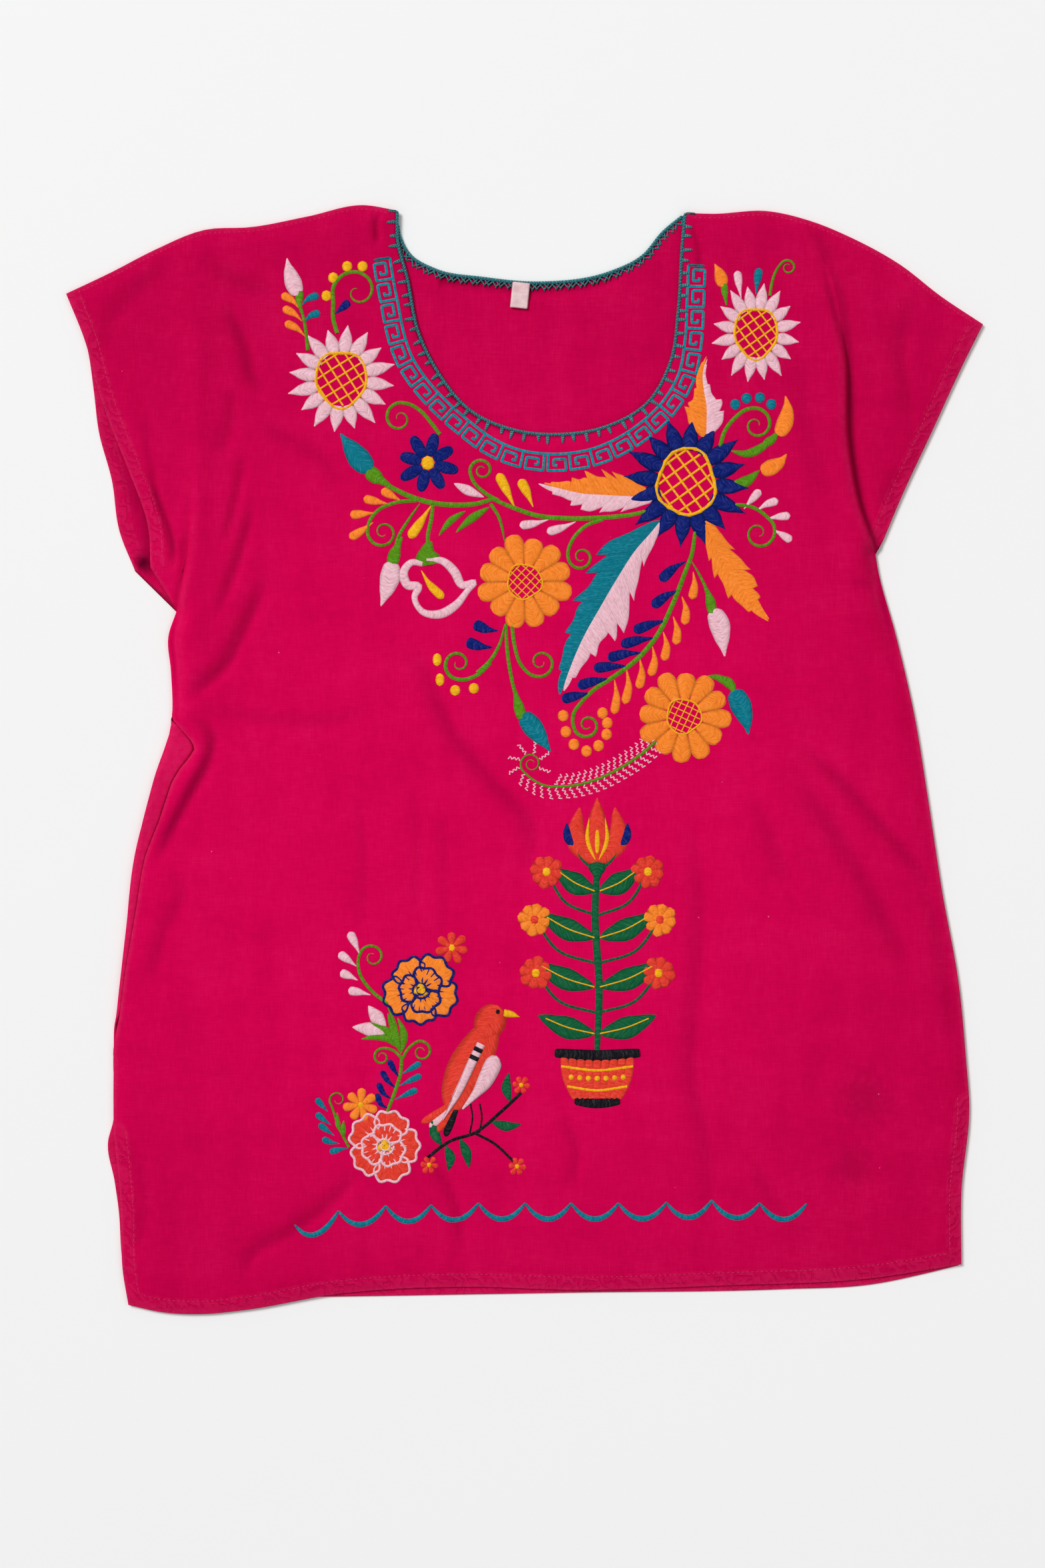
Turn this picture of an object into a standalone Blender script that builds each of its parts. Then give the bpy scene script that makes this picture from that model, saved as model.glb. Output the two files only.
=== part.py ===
"""A short-sleeved cotton blouse with an embroidered front, laid flat on its back panel.

Front and back are each cut in one with their cap sleeves, and lie on each other. Each panel is
a wall of cloth on a smooth surface: patches between the seams and hems, which short tables of
stations give, then lifted by the folds. The frame has +X to the right, +Y to the neck and +Z up,
with the origin under the middle of the garment, on the surface that it lies on.
"""

import math
from typing import NamedTuple

import bmesh
import bpy
import numpy as np

MM = 0.001

# Cloth, in millimetres
WALL = 1.2
SEAM_GAP = 0.3
BACK_MIDDLE = WALL / 2
FRONT_LOWEST = WALL + SEAM_GAP + WALL / 2
NECK_LIFT = 0.85
FRONT_FREE = 4.4
EDGE_REACH = 7.0
NECK_LIFT_REACH = 12.0
BACK_TUCK = 0.4  # how far the back stays inside the front along the right side
WELD = 0.02

# The side seam on the left lies on the front, so the back's cloth rolls over to meet it
ROLL_RADIUS = 1.35
ROLL_INSET = ROLL_RADIUS + WALL / 2
ROLL_TOP = BACK_MIDDLE + 2 * ROLL_RADIUS
ROLL_STEPS = 8
FULL_ROLL = 2.4

# Neck edging and label
CORD_RADIUS = 1.1
CORD_STEP = 5.0
CORD_FLOOR_GAP = 0.1
NECK_EDGE = 2 * CORD_RADIUS + SEAM_GAP + 0.7
BACK_CORD_ENDS = ((-69.0, 305.0), (89.0, 323.0))
LABEL_WIDTH, LABEL_LENGTH, LABEL_WALL = 10.8, 15.0, 1.0
LABEL_TOP = (-2.6, 285.0)
LABEL_LEAN = math.radians(7)

# Outline stations, (x, y) in millimetres. Each table runs upwards or left to right.
SHOULDER_LEFT = ((-275.4, 279.9), (-248.4, 292.7), (-221.6, 306.5), (-192.0, 318.3), (-164.4, 319.9),
                 (-130.4, 326.3), (-96.8, 333.1), (-75.4, 329.5))
SHOULDER_RIGHT = ((95.4, 328.3), (113.6, 327.9), (146.0, 329.5), (170.8, 323.9), (197.2, 313.1),
                  (226.0, 297.1), (249.6, 278.7), (275.4, 261.5))
FRONT_SLEEVE_LEFT = ((-224.8, 115.1), (-226.0, 138.7), (-237.2, 171.9), (-248.8, 200.7),
                     (-258.0, 227.9), (-263.2, 248.7), (-275.4, 279.9))
BACK_SLEEVE_LEFT = ((-234.0, 113.1), (-243.6, 137.5), (-248.0, 167.5), (-256.0, 197.5),
                    (-259.0, 222.0), (-263.2, 248.7), (-275.4, 279.9))
SLEEVE_RIGHT = ((215.4, 131.5), (226.4, 157.7), (244.0, 195.5), (264.4, 239.5), (275.4, 261.5))
HEM_FRONT = ((-238.0, -327.7), (-217.2, -332.1), (-192.4, -333.1), (-169.2, -330.9), (-112.0, -321.1),
             (-37.6, -316.9), (31.2, -318.7), (118.0, -316.1), (208.4, -311.7), (262.4, -303.3))
HEM_BACK = ((-238.8, -324.1), (-194.8, -324.1), (-116.8, -322.9), (31.2, -320.4), (154.4, -318.4),
            (208.4, -315.5), (244.4, -308.1), (260.8, -304.1))
RIGHT_SIDE = ((262.4, -303.3), (262.4, -260.1), (267.2, -208.5), (265.2, -180.1), (261.0, -136.1),
              (250.6, -77.7), (242.0, -21.3), (234.6, 24.3), (222.8, 75.5), (212.4, 113.5), (210.8, 123.1))
LEFT_SIDE = ((-238.8, -324.1), (-242.4, -296.1), (-243.9, -271.7), (-246.4, -253.7), (-250.4, -229.5),
             (-247.4, -218.0), (-247.2, -177.7), (-245.2, -153.3), (-239.8, -104.5), (-235.0, -61.7),
             (-223.6, -14.5), (-212.0, 23.9), (-212.4, 52.7), (-214.0, 74.0), (-209.2, 88.7))
FRONT_VENT_LEFT = ((-238.0, -327.7), (-241.4, -307.3), (-242.4, -271.7), (-244.6, -244.9), (-246.6, -226.1),
                   (-247.0, -204.0), (-246.8, -177.7))

# Necklines, measured on the outer edge of the edging, from the left tip round to the right one
NECK_FRONT = ((-75.4, 329.5), (-75.2, 312.0), (-69.6, 289.9), (-62.4, 255.9), (-50.8, 232.7),
              (-31.2, 209.9), (-5.2, 198.7), (20.8, 196.3), (46.8, 200.3), (73.2, 215.1),
              (86.8, 239.5), (91.2, 268.7), (93.6, 308.0), (95.4, 328.3))
NECK_BACK = ((-75.4, 329.5), (-74.0, 314.7), (-68.8, 304.7), (-52.8, 295.1), (-24.8, 290.3),
             (8.0, 287.5), (50.4, 293.5), (70.0, 303.1), (82.8, 317.9), (95.4, 328.3))

# Where the side seam lies on the front: how far it is in from the left side, at each height
# (y, over)
SEAM_OVER = ((-176.0, 0.0), (-152.0, 2.4), (-126.0, 2.9), (-106.0, 4.1), (-85.0, 5.6), (-58.0, 6.8),
             (-37.0, 10.4), (-14.0, 11.6), (-4.0, 13.4), (6.0, 18.4), (17.0, 8.0),
             (24.0, 1.0), (27.0, 0.0))


class Crest(NamedTuple):
    """A line where the body's cloth rolls over the sleeve, with its rise at each station."""

    stations: tuple  # (x, y, rise)
    body_side: int   # 1 where the body lies to the left of the line, taken upwards


CRESTS = (
    Crest(((-208.0, 26.0, 2.0), (-208.6, 52.0, 4.0), (-210.0, 74.0, 5.0), (-207.6, 92.0, 5.5),
           (-202.4, 118.3, 6.5), (-198.4, 167.9, 5.5), (-194.4, 210.7, 4.0), (-186.8, 255.9, 2.0),
           (-154.8, 321.7, 0.0)), -1),
    Crest(((222.6, 62.0, 0.0), (213.6, 98.0, 3.5), (210.0, 123.0, 6.0), (200.4, 152.0, 6.0),
           (193.6, 190.0, 5.0), (191.6, 250.3, 3.5), (183.0, 292.0, 1.2), (165.2, 325.4, 0.0)), 1),
)

# How the cloth climbs over a crest: distance from it towards the body, and share of the rise
CREST_PROFILE = ((-7.0, 0.0), (-3.0, 0.03), (-1.2, 0.14), (-0.3, 0.38), (0.0, 0.55), (0.9, 0.82),
                 (2.6, 0.97), (6.0, 1.0), (18.0, 0.7), (36.0, 0.2), (60.0, 0.0))
# Extra columns beside a crest, as distances from it
BODY_COLUMNS = (0.9, 2.6, 6.0)
SLEEVE_COLUMNS = (0.3, 1.2, 3.0, 7.0)


class Fold(NamedTuple):
    """A soft ridge or trough: its line, how far it spreads on each side of it, and its rise."""

    name: str
    line: tuple
    left_spread: float
    right_spread: float
    rise: float


FOLDS = (
    Fold("armpit ridge", ((-199.0, 20.0), (-193.0, 8.0), (-200.0, -12.0), (-212.0, -36.0),
                          (-221.0, -56.0)), 7.0, 5.5, 4.2),
    Fold("armpit trough", ((-160.8, 67.9), (-194.0, 44.0), (-201.0, 32.0), (-184.0, 13.0), (-191.0, -8.0),
                           (-212.0, -42.5)), 6.0, 6.0, -2.4),
    Fold("left chest trough", ((-167.0, 184.0), (-174.0, 151.0), (-170.0, 129.0), (-185.0, 82.0)),
         7.0, 9.0, -2.6),
    Fold("left shoulder trough", ((-192.0, 306.0), (-164.0, 278.0), (-166.0, 244.0), (-156.0, 220.0)),
         7.0, 10.0, -1.4),
    Fold("middle trough", ((-80.0, 60.7), (-46.8, 18.3), (-19.0, -10.0), (3.0, -34.0), (4.0, -60.0)),
         10.0, 14.0, -1.8),
    Fold("right flank trough", ((134.0, 16.0), (161.0, 6.0), (183.0, -22.0), (207.0, -76.0),
                                (229.0, -120.0), (233.0, -154.0)), 8.0, 12.0, -2.4),
    Fold("right flank ridge", ((160.0, 16.0), (180.0, 4.0), (197.0, -26.0), (222.0, -80.0),
                               (240.0, -124.0)), 7.0, 9.0, 2.0),
    Fold("right side trough", ((197.0, 0.0), (211.0, -24.0), (227.0, -48.0), (241.0, -66.0)),
         6.0, 8.0, -1.8),
    Fold("long trough", ((101.0, -4.0), (108.0, -60.0), (107.0, -130.0), (112.0, -200.0), (116.0, -250.0),
                         (112.0, -300.0)), 12.0, 14.0, -1.6),
    Fold("lower left trough", ((-108.0, -250.0), (-127.0, -273.0), (-155.0, -311.0)), 10.0, 12.0, -2.0),
    Fold("hem trough", ((-52.0, -240.0), (-40.0, -268.0), (-36.0, -300.0)), 9.0, 9.0, -1.3),
    Fold("right sleeve trough", ((217.0, 300.0), (226.0, 258.0), (226.0, 220.0), (230.0, 190.0)),
         8.0, 8.0, -1.4),
    Fold("left sleeve ridge", ((-248.0, 240.0), (-234.0, 200.0), (-226.0, 170.0), (-220.0, 140.0)),
         6.0, 5.0, 1.6),
)

# Mesh density. Both panels share the heights of their rows, so that they meet along the seam.
SEAM_PEAK = 6.0
ROWS_TO_PEAK, ROWS_ABOVE_PEAK, CHEST_ROWS, YOKE_ROWS = 24, 7, 7, 11
SIDE_COLUMNS, NECK_COLUMNS, SLEEVE_STEPS = 10, 8, 6
BACK_SIDE_COLUMNS, BACK_NECK_COLUMNS, BACK_SLEEVE_STEPS = 4, 8, 4
SPAN_SAMPLES, NECK_SAMPLES, CREST_SAMPLES, SIDE_SAMPLES = 12, 80, 60, 60
CHEST_SHARE = 0.36  # of a crest's length, from the armpit up
NECK_CORNERS_FRONT = ((-41.0, 219.0), (74.0, 214.0))
NECK_CORNERS_BACK = ((-50.0, 293.0), (56.0, 293.0))
COLUMN_FIT = 0.85  # share of a patch's next column that the extra ones may take up
FOLD_FADE = 0.3    # share of a fold's length over which each end dies away
LEFT_HALF = -150.0  # x that the left seam's strip stays left of
LABEL_COLUMNS, LABEL_ROWS = 3, 4

COLOURS = {  # linear red, green, blue
    "pink_cotton": (0.545, 0.002, 0.065),
    "teal_thread": (0.010, 0.150, 0.185),
    "pale_tape": (0.800, 0.600, 0.640),
}


class Path:
    """A smooth line through stations, read by its share of the length."""

    def __init__(self, stations, smooth=True):
        rows = np.array(stations, float)
        if smooth:
            rows = self.smoothed(rows)
        self.rows = rows
        steps = np.linalg.norm(np.diff(rows[:, :2], axis=0), axis=1)
        self.lengths = np.concatenate([[0.0], np.cumsum(steps)])
        self.length = self.lengths[-1]

    @staticmethod
    def smoothed(rows):
        """Hermite spans whose tangents follow the neighbouring stations."""
        steps = np.linalg.norm(np.diff(rows[:, :2], axis=0), axis=1)
        places = np.concatenate([[0.0], np.cumsum(steps)])
        slopes = np.gradient(rows, places, axis=0)
        share = np.linspace(0, 1, SPAN_SAMPLES, endpoint=False)[:, None]
        spans = []
        for i, step in enumerate(steps):
            spans.append(
                (2 * share**3 - 3 * share**2 + 1) * rows[i]
                + (share**3 - 2 * share**2 + share) * step * slopes[i]
                + (3 * share**2 - 2 * share**3) * rows[i + 1]
                + (share**3 - share**2) * step * slopes[i + 1]
            )
        return np.concatenate([*spans, rows[-1:]])

    def at(self, shares):
        """Points at these shares of the length."""
        places = np.asarray(shares, float) * self.length
        columns = [np.interp(places, self.lengths, column) for column in self.rows.T]
        return np.stack(columns, axis=-1)

    def share_near(self, x, y):
        """Share of the length at the point of the line nearest to (x, y)."""
        nearest = np.argmin(np.hypot(self.rows[:, 0] - x, self.rows[:, 1] - y))
        return self.lengths[nearest] / self.length

    def at_heights(self, heights):
        """Points of an upright line at these heights."""
        across = np.interp(heights, self.rows[:, 1], self.rows[:, 0])
        return np.stack([across, heights], axis=1)

    def part(self, start, end, count):
        """count + 1 even points from one share of the length to another."""
        return self.at(np.linspace(start, end, count + 1))

    def reach(self, points):
        """Signed distance of each point from the line, positive to its left, and share of the length."""
        starts, ends = self.rows[:-1, :2], self.rows[1:, :2]
        along = ends - starts
        size = np.maximum((along**2).sum(1), 1e-12)
        offset = points[:, None, :] - starts[None]
        share = np.clip((offset * along).sum(2) / size, 0, 1)
        gap = offset - share[..., None] * along
        distance = np.hypot(gap[..., 0], gap[..., 1])
        nearest = distance.argmin(axis=1)
        row = np.arange(len(points))
        turn = along[nearest, 0] * offset[row, nearest, 1] - along[nearest, 1] * offset[row, nearest, 0]
        place = self.lengths[nearest] + share[row, nearest] * np.sqrt(size[nearest])
        return np.where(turn >= 0, 1, -1) * distance[row, nearest], place / self.length


def coons(bottom, top, left, right):
    """Points between four sides that share their corners: rows run upwards, columns to the right."""
    across = np.linspace(0, 1, len(bottom))[None, :, None]
    up = np.linspace(0, 1, len(left))[:, None, None]
    between_rows = (1 - up) * bottom[None] + up * top[None]
    between_columns = (1 - across) * left[:, None] + across * right[:, None]
    corners = ((1 - across) * (1 - up) * bottom[0] + across * (1 - up) * bottom[-1]
               + (1 - across) * up * top[0] + across * up * top[-1])
    return between_rows + between_columns - corners


def graded(patch, distances, at_left):
    """The patch with extra columns at these distances from its first or last column."""
    edge, inner = (0, 1) if at_left else (-1, -2)
    gap = patch[:, inner] - patch[:, edge]
    width = np.linalg.norm(gap, axis=1, keepdims=True)
    fit = np.minimum(1.0, COLUMN_FIT * width / distances[-1])
    extra = np.stack([patch[:, edge] + gap / width * fit * d for d in distances], axis=1)
    if at_left:
        return np.concatenate([patch[:, :1], extra, patch[:, 1:]], axis=1)
    return np.concatenate([patch[:, :-1], extra[:, ::-1], patch[:, -1:]], axis=1)


def offset_line(points, distance):
    """The points moved to the left of the line that they make, where distance is positive."""
    along = np.gradient(points, axis=0)
    along /= np.linalg.norm(along, axis=1, keepdims=True)
    return points + distance * np.stack([-along[:, 1], along[:, 0]], axis=1)


def body_heights():
    """Heights of the rows between the hem and the armpit, with one at the seam's innermost point."""
    below = np.linspace(LEFT_SIDE[0][1], SEAM_PEAK, ROWS_TO_PEAK + 1)
    above = np.linspace(SEAM_PEAK, LEFT_SIDE[-1][1], ROWS_ABOVE_PEAK + 1)
    return np.concatenate([below, above[1:]])


def seam_over(y):
    """How far the left seam lies in from the left side at height y."""
    heights, over = zip(*SEAM_OVER)
    return np.interp(y, heights, over, left=0.0, right=0.0)


class Cut(NamedTuple):
    """The lines that one panel is cut to."""

    left_side: Path
    right_side: Path
    hem: Path
    sleeve_left: Path
    sleeve_right: Path
    crest_left: Path
    crest_right: Path
    neck: Path
    neck_corners: tuple
    side_columns: int
    neck_columns: int
    sleeve_steps: int


def neck_line(stations):
    """The cloth's own edge at the neck, in from the edging's outer edge. It ends on the shoulders."""
    return Path(offset_line(Path(stations).part(0, 1, NECK_SAMPLES), -NECK_EDGE), smooth=False)


def panel_patches(cut):
    """The flat patches of one panel: body, chest, two yokes and two sleeves."""
    side, neck, sleeve = cut.side_columns, cut.neck_columns, cut.sleeve_steps
    pit_left, pit_right = cut.left_side.at(1.0), cut.right_side.at(1.0)
    corner_left, corner_right = (cut.neck.share_near(*corner) for corner in cut.neck_corners)

    columns = 2 * side + neck
    pit_row = np.linspace(pit_left, pit_right, columns + 1)
    body_left = cut.left_side.at_heights(body_heights())
    body_left[0] = cut.hem.at(0.0)
    body = coons(cut.hem.part(0, 1, columns), pit_row,
                 body_left, cut.right_side.part(0, 1, len(body_left) - 1))

    left_low = cut.crest_left.part(0, CHEST_SHARE, CHEST_ROWS)
    right_low = cut.crest_right.part(0, CHEST_SHARE, CHEST_ROWS)
    neck_bottom = cut.neck.part(corner_left, corner_right, neck)
    row_left = np.linspace(left_low[-1], neck_bottom[0], side + 1)
    row_right = np.linspace(neck_bottom[-1], right_low[-1], side + 1)
    chest_top = np.concatenate([row_left[:-1], neck_bottom, row_right[1:]])
    chest = coons(pit_row, chest_top, left_low, right_low)

    left_high = cut.crest_left.part(CHEST_SHARE, 1, YOKE_ROWS)
    right_high = cut.crest_right.part(CHEST_SHARE, 1, YOKE_ROWS)
    neck_left = cut.neck.part(corner_left, 0, YOKE_ROWS)
    neck_right = cut.neck.part(corner_right, 1, YOKE_ROWS)
    shoulder_left, shoulder_right = Path(SHOULDER_LEFT), Path(SHOULDER_RIGHT)
    top_left = shoulder_left.share_near(*left_high[-1])
    top_right = shoulder_right.share_near(*right_high[-1])
    left_end = shoulder_left.share_near(*neck_left[-1])
    right_end = shoulder_right.share_near(*neck_right[-1])
    yoke_left_top = shoulder_left.part(top_left, left_end, side)
    yoke_right_top = shoulder_right.part(right_end, top_right, side)
    left_high[-1], right_high[-1] = yoke_left_top[0], yoke_right_top[-1]
    neck_left[-1], neck_right[-1] = yoke_left_top[-1], yoke_right_top[0]
    yoke_left = coons(row_left, yoke_left_top, left_high, neck_left)
    yoke_right = coons(row_right, yoke_right_top, neck_right, right_high)

    rows = CHEST_ROWS + YOKE_ROWS
    inner_left = np.concatenate([left_low, left_high[1:]])
    inner_right = np.concatenate([right_low, right_high[1:]])
    sleeve_left = coons(np.linspace(cut.sleeve_left.at(0.0), inner_left[0], sleeve + 1),
                        shoulder_left.part(0, top_left, sleeve),
                        cut.sleeve_left.part(0, 1, rows), inner_left)
    sleeve_right = coons(np.linspace(inner_right[0], cut.sleeve_right.at(0.0), sleeve + 1),
                         shoulder_right.part(top_right, 1, sleeve),
                         inner_right, cut.sleeve_right.part(0, 1, rows))
    return {"body": body, "chest": chest, "yoke_left": yoke_left, "yoke_right": yoke_right,
            "sleeve_left": sleeve_left, "sleeve_right": sleeve_right}


def crest_path(crest, start):
    """The crest from the armpit up to the shoulder, as a path in the plane."""
    whole = Path([station[:2] for station in crest.stations])
    line = whole.part(whole.share_near(*start), 1, CREST_SAMPLES)
    line[0] = start
    return Path(line, smooth=False)


def front_cut():
    """Lines of the front panel. On the left it stops at the seam, in from the side."""
    side = Path(LEFT_SIDE).at_heights(body_heights())
    side[:, 0] += seam_over(side[:, 1]) + 2 * SEAM_GAP * (seam_over(side[:, 1]) > 0)
    vent = Path(FRONT_VENT_LEFT).at_heights(side[:, 1])
    side = np.where(side[:, 1:] < FRONT_VENT_LEFT[-1][1], vent, side)
    return Cut(Path(side, smooth=False), Path(RIGHT_SIDE), Path(HEM_FRONT),
               Path(FRONT_SLEEVE_LEFT), Path(SLEEVE_RIGHT),
               crest_path(CRESTS[0], LEFT_SIDE[-1]), crest_path(CRESTS[1], RIGHT_SIDE[-1]),
               neck_line(NECK_FRONT), NECK_CORNERS_FRONT,
               SIDE_COLUMNS, NECK_COLUMNS, SLEEVE_STEPS)


def back_cut():
    """Lines of the back panel. On the left it stops where its cloth starts to roll over."""
    side = Path(LEFT_SIDE).at_heights(body_heights())
    side[:, 0] += ROLL_INSET * np.minimum(seam_over(side[:, 1]) / FULL_ROLL, 1.0)
    right = Path(RIGHT_SIDE).part(0, 1, SIDE_SAMPLES)
    right[:, 0] -= BACK_TUCK * np.sin(np.linspace(0, math.pi, len(right)))
    right[0] = HEM_BACK[-1]
    return Cut(Path(side, smooth=False), Path(right, smooth=False), Path(HEM_BACK),
               Path(BACK_SLEEVE_LEFT), Path(SLEEVE_RIGHT),
               crest_path(CRESTS[0], LEFT_SIDE[-1]), crest_path(CRESTS[1], RIGHT_SIDE[-1]),
               neck_line(NECK_BACK), NECK_CORNERS_BACK,
               BACK_SIDE_COLUMNS, BACK_NECK_COLUMNS, BACK_SLEEVE_STEPS)


def fold_rise(points):
    """Height that the ridges and troughs add at each point."""
    rise = np.zeros(len(points))
    for fold in FOLDS:
        distance, share = Path(fold.line).reach(points)
        spread = np.where(distance > 0, fold.left_spread, fold.right_spread)
        fade = np.clip(np.minimum(share, 1 - share) / FOLD_FADE, 0, 1)
        rise += fold.rise * np.exp(-(distance / spread) ** 2) * fade * (2 - fade)
    return rise


def crest_rise(points):
    """Height that the body's rolled edges add at each point."""
    gaps, shares = zip(*CREST_PROFILE)
    rise = np.zeros(len(points))
    for crest in CRESTS:
        path = Path(crest.stations)
        distance, share = path.reach(points)
        height = np.interp(share, path.lengths / path.length, path.rows[:, 2])
        rise += height * np.interp(distance * crest.body_side, gaps, shares)
    return rise


def front_height(points, edges):
    """Height of the front's middle surface: low at its edges, with the folds between them."""
    free = FRONT_FREE + crest_rise(points) + fold_rise(points)
    distance = np.min([np.abs(edge.reach(points)[0]) for edge in edges], axis=0)
    over = np.minimum(seam_over(points[:, 1]) / FULL_ROLL, 1.0) * (points[:, 0] < LEFT_HALF)
    neck = np.exp(-(np.abs(edges[0].reach(points)[0]) / NECK_LIFT_REACH) ** 2)
    low = FRONT_LOWEST + over * (ROLL_TOP - FRONT_LOWEST) + NECK_LIFT * neck
    height = low + (free - low) * (1 - np.exp(-(distance / EDGE_REACH) ** 2))
    return np.maximum(height, FRONT_LOWEST)


def roll_patch(boundary):
    """The back's cloth from where it leaves the floor, round the left side and up to the seam."""
    rows = []
    for x, y in boundary:
        over = seam_over(y)
        roundness = min(over / FULL_ROLL, 1.0)
        length = (math.pi * ROLL_RADIUS + over - ROLL_INSET) * roundness
        row = []
        for step in range(ROLL_STEPS, -1, -1):
            travel = length * step / ROLL_STEPS
            turn = min(travel / ROLL_RADIUS, math.pi)
            flat = max(0.0, travel - math.pi * ROLL_RADIUS)
            row.append((x - ROLL_RADIUS * math.sin(turn) + flat, y,
                        BACK_MIDDLE + ROLL_RADIUS * (1 - math.cos(turn))))
        rows.append(row)
    return np.array(rows)


def with_height(patch, height):
    """The flat patch with a third coordinate, worked out by the height function."""
    flat = patch.reshape(-1, 2)
    return np.column_stack([flat, height(flat)]).reshape(*patch.shape[:2], 3)


def coloured(name):
    """A plain material in one of the named colours."""
    material = bpy.data.materials.get(name) or bpy.data.materials.new(name)
    material.use_nodes = True
    shader = material.node_tree.nodes["Principled BSDF"]
    shader.inputs["Base Color"].default_value = (*COLOURS[name], 1.0)
    shader.inputs["Roughness"].default_value = 0.85
    material.diffuse_color = (*COLOURS[name], 1.0)
    return material


def cloth_object(name, patches, wall, colour, collection):
    """One closed wall of cloth on the patches, which share the points along their common sides."""
    mesh = bpy.data.meshes.new(name)
    build = bmesh.new()
    for patch in patches:
        corners = [[build.verts.new(point * MM) for point in row] for row in patch]
        for low, high in zip(corners, corners[1:]):
            for i in range(len(low) - 1):
                build.faces.new((low[i], low[i + 1], high[i + 1], high[i]))
    bmesh.ops.remove_doubles(build, verts=build.verts, dist=WELD * MM)
    build.to_mesh(mesh)
    build.free()
    mesh.shade_smooth()
    mesh.materials.append(coloured(colour))
    cloth = bpy.data.objects.new(name, mesh)
    solidify = cloth.modifiers.new("Wall", "SOLIDIFY")
    solidify.thickness = wall * MM
    solidify.offset = 0.0
    collection.objects.link(cloth)
    return cloth


def cord_object(name, points, colour, collection):
    """A round cord along the points, with closed ends."""
    curve = bpy.data.curves.new(name, "CURVE")
    curve.dimensions = "3D"
    curve.bevel_depth = CORD_RADIUS * MM
    curve.bevel_resolution = 2
    curve.use_fill_caps = True
    spline = curve.splines.new("POLY")
    spline.points.add(len(points) - 1)
    for place, point in zip(spline.points, points):
        place.co = (*(np.array(point) * MM), 1.0)
    curve.materials.append(coloured(colour))
    cord = bpy.data.objects.new(name, curve)
    collection.objects.link(cord)
    return cord


def make_front(collection):
    """The front panel, from its hem up to the shoulders, with its folds."""
    cut = front_cut()
    patches = panel_patches(cut)
    for name in ("body", "chest", "yoke_left"):
        patches[name] = graded(patches[name], BODY_COLUMNS, at_left=True)
    for name in ("body", "chest", "yoke_right"):
        patches[name] = graded(patches[name], BODY_COLUMNS, at_left=False)
    patches["sleeve_left"] = graded(patches["sleeve_left"], SLEEVE_COLUMNS, at_left=False)
    patches["sleeve_right"] = graded(patches["sleeve_right"], SLEEVE_COLUMNS, at_left=True)
    under_left = Path((FRONT_SLEEVE_LEFT[0], LEFT_SIDE[-1]), smooth=False)
    edges = (cut.neck, Path(SHOULDER_LEFT), Path(SHOULDER_RIGHT), cut.sleeve_left, cut.sleeve_right,
             cut.left_side, cut.right_side, cut.hem, under_left)
    raised = [with_height(patch, lambda flat: front_height(flat, edges))
              for patch in patches.values()]
    return cloth_object("front_panel", raised, WALL, "pink_cotton", collection)


def make_back(collection):
    """The back panel, flat on the floor, with its strip rolled over to the left seam."""
    cut = back_cut()
    patches = panel_patches(cut)
    flat = [with_height(patch, lambda points: np.full(len(points), BACK_MIDDLE))
            for patch in patches.values()]
    boundary = patches["body"][:, 0]
    rolled = np.flatnonzero(seam_over(boundary[:, 1]) > 0)
    strip = roll_patch(boundary[rolled[0] - 1:rolled[-1] + 2])
    return cloth_object("back_panel", [*flat, strip], WALL, "pink_cotton", collection)


def neck_cord(stations, start, end, height):
    """Points of a cord just inside the opening of a neckline, between two shares of its length."""
    line = Path(stations)
    count = round(line.length * (end - start) / CORD_STEP)
    middle = offset_line(line.part(start, end, count), -CORD_RADIUS)
    return np.column_stack([middle, np.full(len(middle), height)])


def make_edgings(collection):
    """The crocheted cords of the front and back necklines."""
    front = neck_cord(NECK_FRONT, 0.0, 1.0, FRONT_LOWEST + NECK_LIFT)
    cord_object("neck_edging_front", front, "teal_thread", collection)
    back_line = Path(NECK_BACK)
    start, end = (back_line.share_near(*place) for place in BACK_CORD_ENDS)
    back = neck_cord(NECK_BACK, start, end, CORD_RADIUS + CORD_FLOOR_GAP)
    cord_object("neck_edging_back", back, "teal_thread", collection)


def make_label(collection):
    """The woven size label, on the inside of the back panel below its edging."""
    across = np.linspace(-LABEL_WIDTH / 2, LABEL_WIDTH / 2, LABEL_COLUMNS + 1)
    down = np.linspace(-LABEL_LENGTH, 0.0, LABEL_ROWS + 1)
    height = WALL + SEAM_GAP + LABEL_WALL / 2
    side, along = math.cos(LABEL_LEAN), math.sin(LABEL_LEAN)
    turn = np.array(((side, along), (-along, side)))
    rows = [[(*(turn @ (x, y) + LABEL_TOP), height) for x in across] for y in down]
    cloth_object("neck_label", [np.array(rows)], LABEL_WALL, "pale_tape", collection)


def main():
    """Clears the scene and builds the blouse's pieces."""
    for old in list(bpy.data.objects):
        bpy.data.objects.remove(old)
    collection = bpy.data.collections.new("embroidered_top")
    bpy.context.scene.collection.children.link(collection)
    make_back(collection)
    make_front(collection)
    make_edgings(collection)
    make_label(collection)


main()
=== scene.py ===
"""The looks of an embroidered cotton blouse that lies flat on its back panel.

The front and back panels are thin shells of woven cotton on the form of their solids. On the
front lies the embroidery: satin-stitched petals, leaves, stems and lines, each a small raised mesh
that follows the cloth. The neck has a crocheted edging and the hems have rows of stitches.
The frame has +X to the right, +Y to the neck and +Z up, in metres. The tables of stations are in
millimetres, and those of the embroidery in units of 0.4 mm, from the top left of the picture.
"""

import logging
import math
from dataclasses import dataclass, field
from enum import Enum
from functools import partial
from typing import Callable, Sequence

import bmesh
import bpy
import numpy as np
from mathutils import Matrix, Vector, noise


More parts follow.
